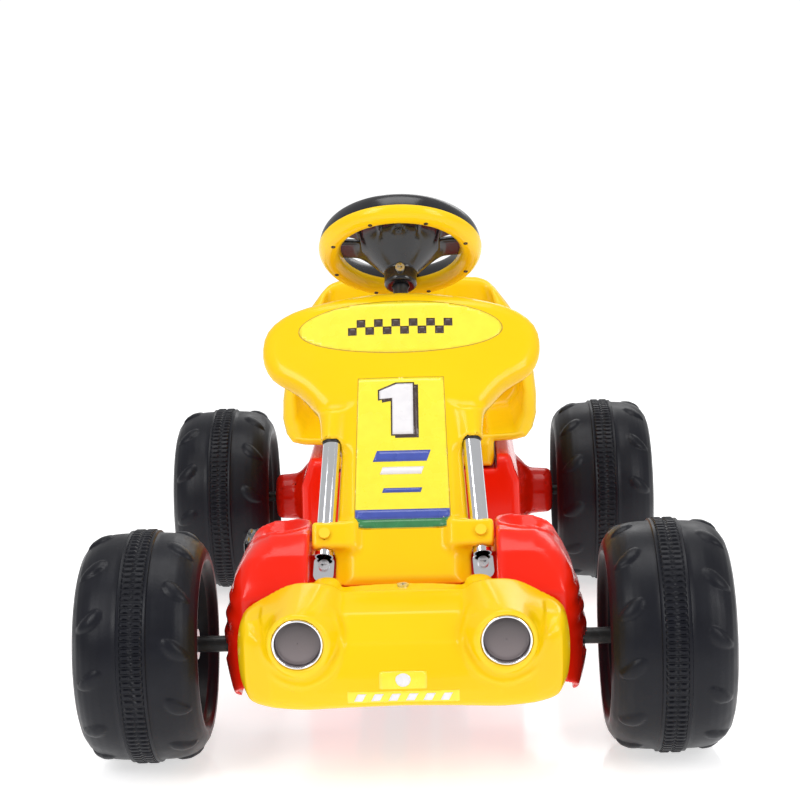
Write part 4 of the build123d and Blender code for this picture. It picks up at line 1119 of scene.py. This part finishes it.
def seat_field(x, y, z):
    """Bucket seat: thick-walled tub with rolled lobes at its sides and a raised back."""
    a, s = abs(x), y - front_y
    near, end = seat_low[1] - front_y, seat_high[1] - front_y
    low, top, w = seat_low[2], seat_high[2], seat_high[0]
    front = polygon(
        a, z,
        [
            (-60, low), (100, low), (100, low + 31), (124, low + 32), (138, low + 35), (147, low + 42),
            (w - 2, low + 54), (w, low + 70), (w - 1, low + 90), (w - 5, low + 112), (w - 14, low + 138),
            (w - 28, low + 163), (w - 45, low + 185), (100, top - 8), (88, top - 2), (70, top), (-60, top),
        ],
    )
    side = polygon(
        s, z,
        [
            (near, low), (576, low), (596, low + 34), (end - 2, top - 10), (end - 8, top), (end - 30, top),
            (564, low + 136), (530, low + 100), (486, low + 78), (430, low + 52), (near + 6, low + 42),
            (near, low + 30),
        ],
    )
    outer = smooth_max(front, side, 14)
    inner_front = polygon(
        a, z,
        [
            (-60, low + 7), (92, low + 7), (93, low + 38), (124, low + 42), (w - 20, low + 56),
            (w - 16, low + 74), (w - 20, low + 108), (w - 42, low + 152), (78, top + 60), (-60, top + 60),
        ],
    )
    inner_side = polygon(
        s, z,
        [
            (near + 10, low + 7), (566, low + 7), (582, low + 40), (end - 17, top + 4), (end, top + 90),
            (near + 10, top + 90),
        ],
    )
    inner = smooth_max(inner_front, inner_side, 10)
    form = smooth_max(outer, -inner, 9)
    on_back = step_between(z, low + 50, low + 90) * step_between(s, 566, 580)
    return form + 1.3 * np.exp(-(((a - 46) / 3.2) ** 2)) * on_back


seat = surface("bucket_seat", seat_field, seat_low, seat_high, 2.9)
finish_piece(seat, "chassis", ["seat"], yellow)


# ---- Pedals ----


def pedal_piece(hand, side):
    """Pedal: two ribbed bars round a central tube, closed by end plates."""
    low, high = node_box(f"pedal_{hand}")
    middle = (low + high) / 2

    def field(x, y, z):
        a, b, c = side * (x - middle[0]), y - middle[1], z - middle[2]
        half = (high[0] - low[0]) / 2
        body = box_field(a, b, c, (-half + 0.2, -26.6, -8.6), (half - 0.2, 26.6, 8.6), 4)
        teeth = 1.6 * (np.cos(a * 2 * np.pi / 8.0) > 0.1) * (abs(b) > 8)
        body = np.maximum(body, abs(c) - 7.0 - teeth)
        for place in (-19.5, 19.5):
            for across in (-16.2, 16.2):
                low_corner, high_corner = (place - 14, across - 5.4, -30), (place + 14, across + 5.4, 30)
                window = box_field(a, b, c, low_corner, high_corner, 3)
                body = smooth_max(body, -window, 1)
        return np.maximum(body, 4.6 - np.sqrt(b * b + c * c) - 1e3 * (a > half - 2.5))

    piece = surface(f"pedal_block_{hand}", field, low, high, 1.6)
    return finish_piece(piece, f"pedal_{hand}", [f"pedal_{hand}"], gloss_black)


pedal_piece("left", 1)
pedal_piece("right", -1)


# ---- Tube plugs ----

for side, hand in ((1, "left"), (-1, "right")):
    direction = up_slope - np.array([side * tube_lean, 0, 0])
    direction /= np.linalg.norm(direction)
    foot = fairing_foot - off_face * tube_depth + np.array([side * tube_foot_x, 0, 0])
    outline = [(145, 9.1), (146, 9.45), (153, 9.45), (153, 9.1)]
    plug = turned(f"tube_plug_{hand}", outline, 1.0, 48, foot, direction)
    finish_piece(plug, "chassis", (), plug_black)


# ---- Floor, lights, camera ----


def studio_floor():
    """White seamless floor that keeps soft shadows and a faint reflection under the wheels."""
    nodes = Nodes("studio_floor")
    tone = nodes.remap(nodes.noise(1.5, 2.0), 0.3, 0.7, 0.0, 1.0)
    nodes.paint("Base Color", nodes.blend(tone, rgb(0.80, 0.80, 0.81), rgb(0.84, 0.84, 0.845)))
    nodes.paint("Roughness", nodes.remap(nodes.noise(25.0), 0.3, 0.7, 0.10, 0.14))
    nodes.shader.inputs["Emission Color"].default_value = rgb(1.0, 1.0, 1.0)
    nodes.shader.inputs["Emission Strength"].default_value = 0.62
    bpy.ops.mesh.primitive_plane_add(size=60, location=(0, 0, 0))
    floor = bpy.context.object
    floor.name = "studio_floor"
    floor.data.materials.append(nodes.material)


def area_light(name, place, target, size, power):
    """Soft rectangular light aimed at a point."""
    data = bpy.data.lights.new(name, "AREA")
    data.shape = "RECTANGLE"
    data.size, data.size_y = size
    data.energy = power
    light = bpy.data.objects.new(name, data)
    light.location = place
    light.rotation_euler = (Vector(target) - Vector(place)).to_track_quat("-Z", "Y").to_euler()
    bpy.context.scene.collection.objects.link(light)


def camera():
    """Camera low in front of the nose, slightly to the kart's left, tipped down a little."""
    pitch, yaw, roll = math.radians(11.15), math.radians(-1.539), math.radians(-1.772)
    forward = Vector((math.sin(yaw) * math.cos(pitch), math.cos(yaw) * math.cos(pitch), -math.sin(pitch)))
    right = Vector((math.cos(yaw), -math.sin(yaw), 0))
    up = right.cross(forward)
    rolled_right = right * math.cos(roll) + up * math.sin(roll)
    rolled_up = up * math.cos(roll) - right * math.sin(roll)
    data = bpy.data.cameras.new("camera")
    data.lens = 87.6
    data.sensor_width = 36.0
    viewer = bpy.data.objects.new("camera", data)
    turn = Matrix((rolled_right, rolled_up, -forward)).transposed().to_4x4()
    viewer.matrix_world = Matrix.Translation((0.0509, front_y / 1000 - 1.8373, 0.7181)) @ turn
    bpy.context.scene.collection.objects.link(viewer)
    bpy.context.scene.camera = viewer


studio_floor()
area_light("key", (-1.7, -1.9, 2.2), (0, -0.1, 0.25), (1.0, 1.6), 30)
area_light("fill", (2.0, -1.6, 1.6), (0, -0.1, 0.25), (0.8, 1.6), 20)
area_light("top", (0, 0.1, 2.8), (0, 0, 0.2), (1.6, 1.6), 24)
area_light("rim", (0.6, 2.6, 1.6), (0, 0, 0.3), (2.0, 1.0), 12)
world = bpy.data.worlds.new("studio")
world.use_nodes = True
tree = world.node_tree
surround = tree.nodes["Background"]
surround.inputs["Color"].default_value = (1, 1, 1, 1)
surround.inputs["Strength"].default_value = 0.52
backdrop = tree.nodes.new("ShaderNodeBackground")
backdrop.inputs["Color"].default_value = (1, 1, 1, 1)
backdrop.inputs["Strength"].default_value = 1.05
choice = tree.nodes.new("ShaderNodeMixShader")
tree.links.new(tree.nodes.new("ShaderNodeLightPath").outputs["Is Camera Ray"], choice.inputs[0])
tree.links.new(surround.outputs[0], choice.inputs[1])
tree.links.new(backdrop.outputs[0], choice.inputs[2])
tree.links.new(choice.outputs[0], tree.nodes["World Output"].inputs["Surface"])
bpy.context.scene.world = world
bpy.context.scene.view_settings.view_transform = "Standard"
camera()
